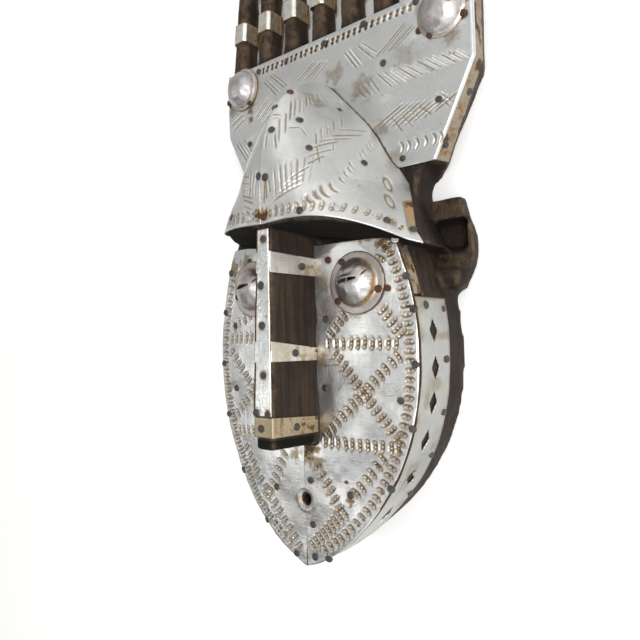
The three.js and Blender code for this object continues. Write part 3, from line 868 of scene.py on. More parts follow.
dome_look = metal_finish("forehead_aluminium", bright=(0.63, 0.63, 0.62, 1), dull=(0.50, 0.505, 0.505, 1),
                         haze=dome_haze, amber=(0.46, 0.26, 0.075, 1), rust=old_rust, rough=0.40)


def dome_half(height):
    """Half the width of the dome: straight sides that lean in, and a rounded top."""
    straight = brow_half - dome_slope * (height - brow_underside)
    return straight * (1 - share(height, dome_shoulder, dome_top) ** 2.2) ** 0.8


def keel_depth(height):
    closing = share(height, keel_shoulder, dome_top + 1)
    return crest_front + (dome_keel - crest_front) * (1 - closing ** 2.3) ** 0.55


def dome_depth(x, height):
    """From the keel the dome bows back to the side, fuller at the brow than near its top."""
    across = np.clip(np.abs(x) / np.maximum(dome_half(height), 0.2), 0, 1)
    bow = mix(3.7, 1.6, share(height, brow_height, dome_top - 25) ** 0.85)
    side = mix(dome_end_depth, crest_front, share(height, brow_underside, brow_underside + 40))
    return mix(keel_depth(height), side, across ** bow)


def brow_edge(across):
    """The lower edge of the forehead sheets: its left end rises, and its right end drops."""
    away = np.abs(across)
    lift = np.where(across < 0, brow_lift["left"], brow_lift["right"])
    lift = lift * np.sin(np.pi * np.minimum(1, away / 0.9))
    return brow_height + lift + np.where(across < 0, brow_end["left"], brow_end["right"]) * away ** 4.5


def even_steps(curve, count):
    """Shares from 0 to 1 that cut a curve, given at even shares, into equal lengths."""
    way = np.concatenate([[0], np.cumsum(np.linalg.norm(np.diff(curve, axis=0), axis=1))])
    return np.interp(np.linspace(0, way[-1], count + 1), way, np.linspace(0, 1, len(way)))


def dome_grid(side):
    """Half of the dome, as rows of points from the brow up, with its columns evenly spaced."""
    fine = np.linspace(0, 1, 400)
    level = 262.0
    half = dome_half(level)
    across_curve = np.stack([fine * half, dome_depth(fine * half, level)], axis=-1)
    along = mix(brow_height, dome_top, fine)
    along_curve = np.stack([along, keel_depth(along)], axis=-1)
    across = even_steps(across_curve, dome_columns)[None, :] * side
    level = even_steps(along_curve, dome_rows)[:, None]
    height = mix(brow_edge(across), dome_top, level)
    x = np.maximum(0.2, dome_half(height)) * across
    x = np.where(np.abs(x) < seam_gap, seam_gap * side, x)
    depth = dome_depth(x, height)
    points = np.stack([x, height, depth], axis=-1)
    return points if side > 0 else points[:, ::-1]


def stroke_rows(sheet, rows, stain):
    """Groups of like cuts: each goes by even steps from its first cut to its last."""
    for (a, b), (c, d), count in rows:
        for k in range(count):
            part = k / max(count - 1, 1)
            start = (mix(a[0], c[0], part), mix(a[1], c[1], part))
            end = (mix(b[0], d[0], part), mix(b[1], d[1], part))
            sheet.groove(start, end, stain=stain * (1 - 0.25 * (k % 3)))


dome_strokes = {
    "right": [
        (((6, 339), (14, 319)), ((8, 342), (15, 327)), 3),
        (((7, 347), (14, 334)), ((7, 353), (12, 345)), 4),
        (((8, 353), (15, 344)), ((11, 353), (18, 345)), 3),
        (((9, 327), (15, 308)), ((7, 323), (13, 301)), 2),
        (((8, 309), (12, 296)), ((2, 309), (3, 298)), 2),
        (((1, 325), (8, 324)), ((2, 322), (7, 322)), 2),
        (((15, 313), (20, 314)), ((20, 314), (25, 307)), 2),
        (((27, 311), (31, 300)), ((27, 330), (32, 320)), 5),
        (((31, 300), (37, 285)), ((35, 305), (38, 297)), 2),
        (((32, 284), (37, 292)), ((30, 289), (38, 299)), 2),
        (((30, 297), (37, 306)), ((31, 304), (39, 311)), 2),
        (((33, 310), (40, 316)), ((32, 317), (39, 321)), 2),
        (((7, 276), (9, 266)), ((12, 282), (14, 261)), 2),
        (((16, 285), (19, 263)), ((33, 292), (36, 271)), 6),
        (((12, 260), (33, 269)), ((24, 273), (34, 283)), 4)],
    "left": [
        (((-19, 287), (-20, 270)), ((-4, 285), (-6, 264)), 6),
        (((-24, 284), (-12, 281)), ((-20, 269), (-8, 265)), 4),
        (((-19, 266), (-7, 261)), ((-18, 257), (-12, 254)), 3),
        (((-12, 330), (-7, 318)), ((-5, 338), (-3, 322)), 4),
        (((-30, 310), (-20, 296)), ((-36, 300), (-26, 288)), 5)],
}
dome_nails = {
    "right": [(1.2, 347, "rusty"), (17, 321), (5, 312), (29, 297), (21, 339, "small"), (50, 290),
              (4.2, 278), (2.4, 250, "rusty"), (33, 250.5), (54.5, 250.5, "bright"), (78, 241.5), (90, 235)],
    "left": [(-0.4, 332), (-2.0, 279.5), (-13, 251.5, "bright"), (-35, 256), (-60, 257), (-84, 255),
             (-40, 300), (-28, 335)],
}
# Each gouge cut by its place and its size.
dome_gouges = [(38, 258, 5), (42, 261, 6.5), (45, 263.5, 8), (48, 267, 7), (49, 274, 4), (49, 279, 4),
               (49, 283, 4), (48, 287, 4), (48, 296, 3.6), (47, 300.5, 3.6), (47, 304, 3.6),
               (46, 308, 3.2)]
dome_rings = ((63, 273.5), (71, 258.5))
dome_stains = (((2, 252), 6, 1.1), ((80, 241), 8, 0.4), ((12, 343), 13, 0.3), ((60, 300), 16, 0.22),
               ((72, 270), 9, 0.25), ((30, 340), 10, 0.25))


def dot_line(sheet, side):
    """Upright marks of two beads along the brow."""
    for k, x in enumerate(np.arange(brow_dots["first"], brow_dots["last"], brow_dots["step"])):
        foot = float(brow_edge(np.array(side * x / brow_half)))
        spot = (side * x, foot + brow_dots["rise"] + 0.3 * (k % 2))
        sheet.punch(spot, -math.pi / 2, length=border_mark_length, teeth=2, stain=0.5, wide=1.7)


def bend_side_edge(sheet, side):
    """A fine ridge runs down each side edge. Its foot flares out, and on the right it carries a painted
    golden reflection.
    """
    height, depth = sheet.flat[:, 1], sheet.flat[:, 2]
    rim = dome_half(height) - np.abs(sheet.flat[:, 0])
    sheet.brown(0.95 * (rim < 0.35) * (height > 288))
    ridge = np.exp(-((rim - side_edge_ridge["from_edge"]) / 1.1) ** 2)
    sheet.lift += side_edge_ridge["lift"] * ridge * (height > side_edge_ridge["foot"])
    flare = share(rim, side_edge_flare["width"], 0) ** 1.3
    sheet.lift += side_edge_flare["lift"] * flare * share(height, *side_edge_flare["heights"])
    # Painted reflection: a golden band, with a brighter line across it, at the foot of the right edge.
    if side > 0:
        golden = 0.60 + 0.05 * ripple(height, depth, 6, 75)
        golden += 0.4 * np.exp(-((height - golden_reflection_foot["line"]) / 2.5) ** 2)
        low_end = share(height, *golden_reflection_foot["top"]) * share(height, *golden_reflection_foot["bottom"])
        sheet.brown(low_end * golden * share(rim, *golden_reflection_foot["width"]))


for side_name, side in sides:
    sheet = BeatenSheet(dome_grid(side), dome_depth)
    sheet.hammer(dome_blows, side)
    keel = np.exp(-np.abs(sheet.flat[:, 0]) / 5) * (sheet.flat[:, 1] < keel_top)
    sheet.lift += 0.9 * keel
    stroke_rows(sheet, dome_strokes[side_name], 0.5)
    dot_line(sheet, side)
    sheet.darken((8 * side, 252), 7)
    sheet.darken((82 * side, 241), 11)
    for x, height, size in dome_gouges:
        sheet.crescent((side * (x - 0.8), height - 0.5), math.pi * (1.22 if side > 0 else -0.22),
                       radius=size, sweep=0.95, width=0.55 + 0.1 * size, depth=1.2, stain=0.5)
    for x, height in dome_rings:
        sheet.ring((x * side, height), radius=3.0, squash=0.46, turn=-1.0 * side, width=0.8,
                   depth=1.2, stain=0.5)
    for spot in dome_nails[side_name]:
        sheet.nail_seat(spot)
    for (x, height), radius, strength in dome_stains:
        sheet.patch((x * side, height), radius, strength)
    if side > 0:
        sheet.groove((4.2, 276), (3.2, 259), width=0.5, depth=0.1, stain=0.9)
        sheet.groove((5.0, 276), (5.6, 262), width=0.5, depth=0.1, stain=0.8)
    bend_side_edge(sheet, side)
    sheet.replace("forehead_sheet_" + side_name, dome_look, "sheet_aluminium")
    nail_places["forehead_nails"] += sheet.nails(dome_nails[side_name])

# Crest sheet. One sheet covers the crest plate and is folded back over its sides. Chisel cuts
# run over it in slanting groups, with a line of double dots along the top. Nails hold it.
crest_half = 123.0
crest_foot_half = 91.0
crest_foot_half_rear = 94.5
crest_foot = 290.0
crest_shoulder = 355.5
crest_top = 412.5
fold_depth = 14.0
fold_radius = 2.0
fold_count = 24
crest_grid = 0.72
dot_heights = (407.2, 404.3)
dot_radius = 1.5
dot_step = 5.6
crest_blows = ((48, 0.7, 81), (17, 0.3, 82), (6, 0.08, 83))
crest_look = metal_finish("crest_aluminium", bright=(0.67, 0.675, 0.67, 1), dull=(0.55, 0.56, 0.56, 1),
                          haze=dome_haze, amber=(0.22, 0.13, 0.055, 1), rust=old_rust, rough=0.30)


def crest_edge(height, foot_half):
    return mix(foot_half, crest_half, share(height, crest_foot, crest_shoulder))


def crest_points():
    """Rows across the flat front, each folded back at both ends round a small radius."""
    rows = int((crest_top - crest_foot) / crest_grid)
    height = np.linspace(crest_foot, crest_top, rows + 1)
    front = crest_edge(height, crest_foot_half)[:, None]
    rear = crest_edge(height, crest_foot_half_rear)[:, None]
    flat_count = int(2 * crest_half / crest_grid)
    part = np.linspace(-1, 1, flat_count + 1)[None, :]
    x = part * (front - fold_radius)
    z = np.full_like(x, crest_front)
    step = np.linspace(0, 1, fold_count + 1)[1:][None, :]
    bend = np.minimum(step * 4, 1) * (math.pi / 2)
    back = share(step, 1 / 4, 1)
    fold_x = front - fold_radius + fold_radius * np.sin(bend) + (rear - front) * back
    fold_z = crest_front - fold_radius * (1 - np.cos(bend)) - (fold_depth - fold_radius) * back
    fold_z = fold_z * np.ones_like(fold_x)
    x = np.concatenate([-fold_x[:, ::-1], x, fold_x], axis=1)
    z = np.concatenate([fold_z[:, ::-1], z, fold_z], axis=1)
    return np.stack([x, height[:, None] * np.ones_like(x), z], axis=-1)


crest_strokes = [
    (((-77, 396), (-60, 378)), ((-67, 401), (-47, 383)), 5),
    (((-37, 384), (-17, 396)), ((-21, 380), (-2, 392)), 6),
    (((13, 393), (26, 375)), ((19, 395), (32, 377)), 3),
    (((26, 394), (42, 378)), ((30, 395), (46, 381)), 2),
    (((43, 378), (71, 397)), ((58, 378), (79, 391)), 5),
    (((25, 358), (34, 350)), ((37, 365), (47, 350)), 4),
    (((43, 367), (58, 351)), ((75, 364), (92, 352)), 6),
    (((78, 365), (95, 352)), ((110, 363), (120, 354)), 6),
    (((39, 325), (67, 337)), ((60, 321), (86, 334)), 5),
    (((66, 320), (90, 332)), ((90, 323), (110, 333)), 4),
    (((56, 329), (65, 316)), ((78, 332), (90, 322)), 4),
    (((93, 336), (104, 324)), ((97, 336), (107, 326)), 2),
    (((-114, 349), (-100, 329)), ((-104, 351), (-93, 335)), 4),
    (((-120, 366), (-103, 374)), ((-118, 361), (-101, 369)), 2),
    (((-88, 366), (-70, 380)), ((-80, 358), (-60, 372)), 6),
]
crest_gouges = {"right": (64.5, 70.5, 77.5, 84.5, 91.5, 97), "left": (-76, -83)}
crest_nails = [(-83, 407), (-49, 406), (-6.5, 407), (33, 408.5), (79, 408.5), (50, 372), (95, 331.5),
               (64, 296.5), (-95.5, 344), (-119, 386, "rusty"), (-93.5, 382, "rusty"),
               (115.5, 384.5, "rusty"), (81, 386, "rusty"), (-112, 408)]
fold_nail_spots = ((335, 20), (300, 25))
crest_stains = [((-94, 374), 5, 0.75), ((-93.5, 366), 4, 0.7), ((30, 358), 15, 0.33), ((4, 378), 14, 0.3),
                ((106, 374), 11, 0.35), ((46, 322), 12, 0.3), ((-118, 380), 10, 0.4), ((112, 400), 12, 0.5),
                ((60, 300), 10, 0.25), ((88, 400), 14, 0.3), ((70, 372), 16, 0.22), ((116, 396), 8, 0.6)]

sheet = BeatenSheet(crest_points(), lambda x, height: crest_front)
sheet.hammer(crest_blows)
stroke_rows(sheet, crest_strokes, 0.58)
for x in np.arange(-77, 78, dot_step):
    tilt = 0.55 * math.sin(x * 1.7)
    dark = 1.0 if x < 45 else 0.6
    for place, height in zip((x + 0.4, x - 0.4 + tilt), dot_heights):
        sheet.dot((place, height), dot_radius, 0.8, 1.4 * dark)
for x in crest_gouges["right"]:
    sheet.crescent((x, 305.3), 0.1, radius=5.0, sweep=1.15, width=0.8, depth=1.0, stain=0.55)
for x in crest_gouges["left"]:
    sheet.crescent((x, 304.8), math.pi - 0.15, radius=5.0, sweep=1.1, width=0.8, depth=0.9, stain=0.5)
for spot in crest_nails:
    sheet.nail_seat(spot)
for spot, size, strength in crest_stains:
    sheet.patch(spot, size, strength)
sheet.groove((114, 398), (117, 388), width=0.8, depth=0.2, stain=0.9)
x, height, depth = sheet.flat.T
on_fold = depth < crest_front - fold_radius
sheet.lift[on_fold] = np.minimum(sheet.lift[on_fold], 0.2) * 0.5
fold_stain = 0.56 + 0.12 * ripple(depth, height, 5, 84)
fold_stain += 0.4 * eased(ripple(depth * 1.5, height, 8, 85), 0.35, 0.8)
sheet.brown(fold_stain * on_fold)
# Painted shadow: the crest sheet is darkened along the dome's outline, where the dome meets it.
from_dome = np.abs(x) - dome_half(height)
sheet.brown(0.9 * (from_dome < 0.7) * (height < dome_top + 0.5))
under_dome = (from_dome < -3) & (height < dome_top - 5)
sheet.replace("crest_sheet", crest_look, "sheet_aluminium", ~under_dome)
nail_places["crest_nails"] += sheet.nails(crest_nails)
for height, depth in fold_nail_spots:
    foot_half = mix(crest_foot_half_rear, crest_foot_half, (depth - crest_front) / fold_depth + 1)
    place = np.array([float(crest_edge(height, foot_half)), height, depth])
    nail_places["crest_nails"].append((place, np.array([0.9, -0.44, 0]), "dark"))

# Side strips. Sheet bent round each side wall of the face, with a row of diamonds cut out along
# its middle so that the dark wood shows. Nails hold it, most of them near its rear edge.
wall_rear = 25.5
wall_top = 191.5
wall_bottom = 5.0
wall_width = 48
diamond_heights = (169.2, 143.9, 120.2, 94, 67, 38, 12)
diamond_long = 17.0
diamond_wide = 11.0
torn_diamond = 67
rim_half = 96.0
seam_drop = 2.8
wall_look = metal_finish("side_strip_aluminium", bright=(0.43, 0.43, 0.41, 1), dull=(0.35, 0.35, 0.33, 1),
                         haze=(0.27, 0.22, 0.15, 1), rust=(0.05, 0.028, 0.016, 1), rough=0.34, grime=0.4)


def wall_half(height, depth):
    """The wall's distance from the middle, between the rim behind and the face in front."""
    front = front_half(height)
    return mix(outline_half(height, rim_half, 0.95), front, share(depth, 0, face_front(front)))


def from_face_edge(height, depth):
    return face_front(front_half(height)) - seam_drop - depth


def wall_grid(side, bottom, top, rear, spacing):
    """Rows from the lower end of a strip to its upper one, each from the rear to the face."""
    rows = int((top - bottom) * 1.12 / spacing)
    height = np.linspace(bottom, top, rows + 1)[:, None]
    part = np.linspace(0, 1, int(wall_width / spacing) + 1)[None, :]
    depth = mix(rear, face_front(front_half(height)) - seam_drop, part)
    x = wall_half(height, depth) * side
    points = np.stack([x, height * np.ones_like(depth), depth], axis=-1)
    return points[:, ::-1] if side > 0 else points


def wall_nails(side, spots):
    """Nails in the side wall, each given by its height and depth."""
    for row, z, *kind in spots:
        x = float(wall_half(np.array(float(row)), z)) * side
        place, lean = np.array([x, row, z]), np.array([side, 0.05, 0.1])
        nail_places["side_nails"].append((place, lean, kind[0] if kind else "dark"))


def cut_diamonds(sheet, middle):
    """Cuts the row of diamonds, draws the points round each onto its edge, and tells what is left."""
    height, depth = sheet.flat[:, 1], sheet.flat[:, 2]
    keep = np.ones(len(sheet.flat), dtype=bool)
    for row in diamond_heights:
        torn = 2.6 if row == torn_diamond else 0
        bent = middle + torn * np.sin((height - row) * 0.62)
        along, across = height - row, depth - bent
        size = np.abs(along) / (diamond_long / 2) + np.abs(across) / (diamond_wide / 2)
        inside = size < 0.9
        keep &= ~inside
        close = (size < 1.08) & ~inside
        sheet.flat[close, 1] = row + along[close] / size[close]
        sheet.flat[close, 2] = bent[close] + across[close] / size[close]
        sheet.lift += 0.25 * np.exp(-((size - 1.15) / 0.18) ** 2)
    return keep


wall_nail_spots = {
    "right": [(186, 53), (184, 30), (149, 31), (112, 29), (82, 30), (52, 29)],
    "left": [(180, 64), (150, 30), (118, 64), (96, 30), (60, 30), (30, 60), (182, 31)],
}

for side_name, side in sides:
    sheet = BeatenSheet(wall_grid(side, wall_bottom, wall_top, wall_rear, 0.85))
    height, depth = sheet.flat[:, 1], sheet.flat[:, 2]
    middle = mix(wall_rear, face_depth - face_bulge, 0.5)
    keep = cut_diamonds(sheet, middle)
    sheet.flat[:, 0] = wall_half(height, depth) * side
    sheet.lift += 0.5 * ripple(height, depth, 24, 91) + 0.16 * ripple(height, depth, 9, 92)
    sheet.lift = np.minimum(sheet.lift, 0.8)
    edge = share((depth - wall_rear) / 3.5, 0, 1)
    sheet.stain = 0.42 * (1 - edge) + 0.32 * eased(ripple(height, depth, 11, 93), 0.2, 0.8)
    # Painted shadow of the gap at the face sheet's edge: the strip's front edge is darkened.
    sheet.brown(0.9 * (from_face_edge(height, depth) < 0.4))
    sheet.brown(0.45 * share(height, wall_top - 3, wall_top))
    crumpled = np.exp(-((height - torn_diamond) / 10) ** 2 - ((depth - middle) / 9) ** 2)
    sheet.lift -= 0.5 * crumpled * np.abs(ripple(height, depth, 4, 94))
    sheet.replace("side_strip_" + side_name, wall_look, "sheet_aluminium", keep)
    wall_nails(side, wall_nail_spots[side_name])

# Temple strips. Narrow strips of thin sheet, brown with age, close the gap between the side strips
# and the brow. Each has a torn hole, and two nails hold it.
temple_rear = 55.5
temple_bottom = wall_top + 2
temple_top = brow_underside - 5
temple_hole = (211.5, 58.0)
temple_nail_spots = ((225, 60), (193.5, 55.5, "small"))
rusty_look = metal_finish("brown_old_sheet", bright=(0.36, 0.32, 0.27, 1), dull=(0.24, 0.20, 0.15, 1),
                          haze=(0.29, 0.19, 0.08, 1), rust=(0.06, 0.032, 0.017, 1), rough=0.36, grime=0.8)
for side_name, side in sides:
    sheet = BeatenSheet(wall_grid(side, temple_bottom, temple_top, temple_rear, 0.6))
    height, depth = sheet.flat[:, 1], sheet.flat[:, 2]
    sheet.lift = 0.5 * ripple(height, depth, 9, 95) - 0.3
    golden = eased(ripple(height * 0.6, depth, 7, 97), -0.1, 0.6)
    sheet.stain = 0.20 + 0.28 * golden + 0.6 * eased(ripple(height, depth, 4.5, 96), 0.15, 0.7)
    hole = np.hypot((height - temple_hole[0]) / 2.8, (depth - temple_hole[1]) / 1.5)
    sheet.stain = np.where(hole < 1.5, 0.5, sheet.stain)
    # Painted shadow of the gap at the face sheet's edge: the strip's front edge is darkened.
    sheet.brown(0.95 * (from_face_edge(height, depth) < 0.6))
    sheet.replace("temple_strip_" + side_name, rusty_look, "rusty_sheet", hole > 1)
    wall_nails(side, temple_nail_spots)

# Nose bands and nose strip. Three bands of sheet are bent round the nose and nailed to its sides,
# and a strip of sheet is nailed down its front over the upper two.
nose_rise = 42.8
nose_lean = 4.5
nose_front_shift = -1.1
nose_front_halves = (9.2, 5.8)
nose_grid = 0.7
band_rust = (0.08, 0.046, 0.024, 1)
band_look = metal_finish("aged_band_aluminium", bright=(0.58, 0.56, 0.53, 1), dull=(0.48, 0.45, 0.41, 1),
                         haze=(0.36, 0.285, 0.17, 1), amber=(0.21, 0.13, 0.058, 1), rust=band_rust,
                         rough=0.34, grime=0.6)


def nose_part(height):
    return share(height, nose_bottom, brow_height)


def nose_front(height):
    return face_depth + nose_rise - nose_lean * nose_part(height)


def nose_front_half(height):
    return mix(*nose_front_halves, nose_part(height))


def softened(path, times):
    """The same path with its corners rounded a little."""
    for _ in range(times):
        near = (path[:, :-2] + path[:, 2:]) / 2
        path = np.concatenate([path[:, :1], mix(path[:, 1:-1], near, 0.5), path[:, -1:]], axis=1)
    return path


def nose_band_grid(at_face, in_front):
    """Rows from the lower to the upper edge; columns from the left side, round the front."""
    rows = int((in_front[1] - in_front[0]) / nose_grid) + 2
    part = np.linspace(0, 1, rows)[:, None]
    way = np.linspace(0, 3, 139)[None, :]
    front = np.interp(way, [0, 1, 2, 3], [0, 1, 1, 0])
    height = mix(mix(at_face[0], in_front[0], front), mix(at_face[1], in_front[1], front), part)
    side = np.interp(way, [0, 1, 2, 3], [-1, -1, 1, 1])
    x = side * mix(nose_back_half(height), nose_front_half(height), front) + nose_front_shift * front
    depth = mix(face_depth + 0.6, nose_front(height) - 1.2, front)
    return softened(np.stack([x, height, depth], axis=-1), 4)


nose_bands = [
    {"at_face": (210.5, 223.5), "in_front": (212, 227), "stain": 0.16, "nail_rise": 0, "nail_out": 0.32},
    {"at_face": (150, 159), "in_front": (150, 164.5), "stain": 0.22, "nail_rise": 1.2, "nail_out": 0.48},
    {"at_face": (98.5, 110), "in_front": (98.5, 112.2), "stain": 0.62, "nail_rise": 0, "nail_out": 0.48},
]
for k, band in enumerate(nose_bands):
    sheet = BeatenSheet(nose_band_grid(band["at_face"], band["in_front"]))
    way = sheet.flat[:, 2] + sheet.flat[:, 0]
    height, from_face = sheet.flat[:, 1], sheet.flat[:, 2] - face_depth
    sheet.lift = 0.22 * ripple(way, height, 9, 100 + k)
    streaks = ripple(sheet.flat[:, 2], height * 0.12, 2.6, 103 + k)
    spots = eased(ripple(way, height, 3.2, 106 + k), 0.25, 0.75) * share(from_face, 24, 6)
    worn_front = 0.2 * share(from_face, 34, 41)
    sheet.stain = band["stain"] + 0.13 * streaks + 0.5 * spots - worn_front
    sheet.brown(0.5 * share(from_face, 2.5, 0.5))
    sheet.lift = np.minimum(sheet.lift, 0.15)
    sheet.replace("nose_band_%d" % (k + 1), band_look, "band_aluminium")
    row, out = sum(band["at_face"]) / 2 + band["nail_rise"], band["nail_out"]
    for side in (-1, 1):
        x = mix(nose_back_half(row), nose_front_half(row), out) * side + nose_front_shift * out
        depth = mix(face_depth, nose_front(row), out)
        nail_places["nose_nails"].append((np.array([x, row, depth]), np.array([side, 0, 0.18]), "dark"))

strip_bottom = 113.0
strip_top = 242.5
strip_bend = 1.3
strip_nails = [(-0.5, 235.5), (-3.0, 203), (-1.5, 175), (-0.5, 141), (-7.0, 115), (4.0, 114.5)]
band_front_nail = (-3.0, 104.5)

strip_rows = int((strip_top - strip_bottom) / nose_grid)
height = np.linspace(strip_bottom, strip_top, strip_rows + 1)[:, None]
part = np.linspace(-1, 1, 29)[None, :]
depth = nose_front(height) - strip_bend * share((part - 0.8) / 0.2, 0, 1) ** 2
x = mix(0.3 - nose_front_half(height), nose_front_half(height), (part + 1) / 2) + nose_front_shift
strip = np.stack([x, height * np.ones_like(part), depth], axis=-1)
sheet = BeatenSheet(strip, lambda x, height: nose_front(height))
sheet.lift -= 0.35 * (1 + ripple(sheet.flat[:, 0] * 0.4, sheet.flat[:, 1], 15, 110))
for spot in strip_nails:
    sheet.nail_seat(spot, 0.6)
right_edge = share(part, 0.90, 1.0).repeat(strip_rows + 1, axis=0).ravel()
left_edge = share(-part, 0.76, 0.84).repeat(strip_rows + 1, axis=0).ravel()
height = sheet.flat[:, 1]
for band in nose_bands[:2]:
    low, high = band["in_front"]
    left_edge = left_edge * ((height < low) | (height > high))
blots = eased(ripple(sheet.flat[:, 0], height, 3.5, 111), 0.2, 0.9)
sheet.lift += 0.10 * ripple(sheet.flat[:, 0], height, 1.6, 112)
sheet.brown(np.maximum.reduce([0.85 * right_edge, left_edge, 0.16 * blots]))
sheet.replace("nose_strip", sheet_look, "sheet_aluminium")
nail_places["nose_nails"] += sheet.nails(strip_nails)
x, row = band_front_nail
nail_places["nose_nails"].append((np.array([x, row, nose_front(row) - 1.2]), np.array([0, 0, 1.0]), "dark"))

# Eye and crest bosses. Each is a dome hammered up out of a round piece of polished sheet, whose
# flat edge is nailed on. The eyes are cut with a slit, and the metal above it is pushed up.
eye_dome_radius = 15.6
crest_boss_radius = 19.0
crest_dome_radius = 16.3
crest_bosses = {"left": (-102.5, 395.5), "right": (99.5, 393.5)}
boss_rise = 11.0
boss_skirt = 0.9
boss_grid = 0.5
boss_seeds = {"eye_left": 130, "eye_right": 120, "crest_left": 143, "crest_right": 141}
eye_nail_spots = ((17.5, -5.5), (-15.5, -12), (-11.5, 15.5))
crest_nail_spots = ((17, -8), (-9, -14.5), (4, 17))
slit_half = 9.0
slit_gap = 1.25
slit_tilt = 0.16
slit_middle = (-2.5, 1.4)
slit_nick = (13, 5)
boss_look = metal_finish("polished_boss_aluminium", bright=(0.52, 0.50, 0.50, 1),
                         dull=(0.37, 0.35, 0.355, 1), haze=(0.30, 0.185, 0.075, 1),
                         amber=(0.24, 0.125, 0.04, 1), rust=(0.07, 0.035, 0.018, 1), rough=0.36, grime=0.3)


def disc_grid(radius, spacing):
    """A square grid pulled out into a disc."""
    count = int(2 * radius / spacing) + 1
    line = np.linspace(-1, 1, count)
    u, v = line[None, :], line[:, None]
    return radius * u * np.sqrt(1 - v * v / 2), radius * v * np.sqrt(1 - u * u / 2)


def boss_profile(away, dome_radius):
    """The height over the flat ring: a full dome that runs out in a short hollow curve."""
    inner = share(away / dome_radius, 0, 1)
    skirt = boss_skirt * np.exp(-(np.maximum(away - dome_radius, 0) / 1.1) ** 2)
    return skirt + (boss_rise - boss_skirt) * (1 - inner ** 2.25) ** 0.7


def boss_sheet(spot, base_at, radius, dome_radius, seed, rusty):
    """A boss with its dents, a brown ring round the dome's foot, and an edge bent down."""
    x, y = disc_grid(radius, boss_grid)
    away = np.hypot(x, y)
    depth = base_at(spot[0] + x) + boss_profile(away, dome_radius)
    sheet = BeatenSheet(np.stack([spot[0] + x, spot[1] + y, depth], axis=-1))
    away, x, y = away.ravel(), x.ravel(), y.ravel()
    dents, dimples, cloud, rags = (ripple(x + 40, y + 40, size, seed + k)
                                   for k, size in enumerate((8.5, 3.6, 4.5, 2.4)))
    dome = away < dome_radius - 1
    sheet.lift += np.where(dome, 0.8, 0.25) * np.minimum(dents, 0.25)
    sheet.lift += 0.30 * dimples * dome
    patchy = 0.5 + 0.5 * cloud
    foot = np.exp(-((away - dome_radius - 0.3) / 0.9) ** 2)
    facing_right = share(np.cos(np.arctan2(y, x) - 0.25), -0.2, 0.6)
    ragged = 0.9 * rags
    rust = np.exp(-((away - dome_radius + 0.2 + ragged) / 0.9) ** 2) * facing_right * (0.3 + 0.8 * patchy)
    sheet.stain = rusty * np.maximum(foot * (0.28 + 0.3 * patchy), rust)
    sheet.brown(0.10 * patchy + 0.10 * (away > dome_radius))
    sheet.brown((0.3 + 0.65 * rusty) * (radius - away < 0.45))
    bent_down = np.minimum(sheet.lift, 0) - 0.25 * (1 - radius + away)
    sheet.lift = np.where(radius - away < 1.0, bent_down, sheet.lift)
    return sheet


def ring_nails(spot, side, base_at, places):
    """Rusty nails in the flat ring, placed alike on both sides of the mask."""
    for away, y in places:
        x = spot[0] + away * side
        place = np.array([x, spot[1] + y, float(base_at(x)) + 0.2])
        nail_places["boss_nails"].append((place, np.array([0, 0, 1.0]), "rusty"))


def eye_base(x):
    return face_front(x) + 0.95


def crest_base(x):
    return crest_front + 1.0 + 0 * x


def cut_slit(sheet, spot):
    """A pointed slit with its upper lip pushed up, and a small nick to its right."""
    dx = sheet.flat[:, 0] - spot[0] - slit_middle[0]
    dy = sheet.flat[:, 1] - spot[1] - slit_middle[1]
    along = dx * math.cos(slit_tilt) + dy * math.sin(slit_tilt)
    across = dy * math.cos(slit_tilt) - dx * math.sin(slit_tilt)
    width = slit_gap * np.sqrt(np.maximum(1 - (along / slit_half) ** 2, 0))
    inside = np.abs(across) < width - 0.1
    close = (np.abs(across) < width + 0.35) & ~inside & (np.abs(along) < slit_half)
    shift = (width - np.abs(across)) * np.sign(across)
    sheet.flat[close, 0] -= shift[close] * math.sin(slit_tilt)
    sheet.flat[close, 1] += shift[close] * math.cos(slit_tilt)
    over, under = across > 0, across < 0
    sheet.lift += 1.0 * over * np.exp(-((along + 1) / 5) ** 2 - ((across - 1.7) / 1.3) ** 2)
    sheet.lift -= 1.0 * over * np.exp(-((along + 1) / 8) ** 4 - ((across - 5.0) / 2.2) ** 2)
    sheet.lift -= 0.5 * under * np.exp(-(along / slit_half) ** 4 - ((across + 1.2) / 1.2) ** 2)
    nick_x, nick_y = dx - slit_nick[0], dy - slit_nick[1]
    nick = np.exp(-(nick_x * 0.84 - nick_y * 0.54) ** 2 / 0.3)
    nick *= np.exp(-(nick_x * 0.54 + nick_y * 0.84) ** 2 / 4)
    sheet.lift -= 0.5 * nick
    sheet.brown(np.minimum(1, 2.2 * nick))
    return ~inside


for side_name, side in sides:
    spot = eyes[side_name]
    sheet = boss_sheet(spot, eye_base, eye_radius, eye_dome_radius, boss_seeds["eye_" + side_name], 1.0)
    keep = cut_slit(sheet, spot)
    sheet.replace("eye_boss_" + side_name, boss_look, "boss_metal", keep)
    ring_nails(spot, side, eye_base, eye_nail_spots)

for side_name, side in sides:
    spot = crest_bosses[side_name]
    seed = boss_seeds["crest_" + side_name]
    sheet = boss_sheet(spot, crest_base, crest_boss_radius, crest_dome_radius, seed, 0.25)
    streak = (sheet.flat[:, 0] - spot[0] - 9) * 0.8 + (sheet.flat[:, 1] - spot[1] - 1) * 0.6
    streak = np.exp(-(streak / 1.2) ** 2) * (sheet.flat[:, 1] > spot[1] - 1) * (side > 0)
    sheet.brown(0.6 * streak)
    sheet.replace("crest_boss_" + side_name, boss_look, "boss_metal")
    ring_nails(spot, side, crest_base, crest_nail_spots)

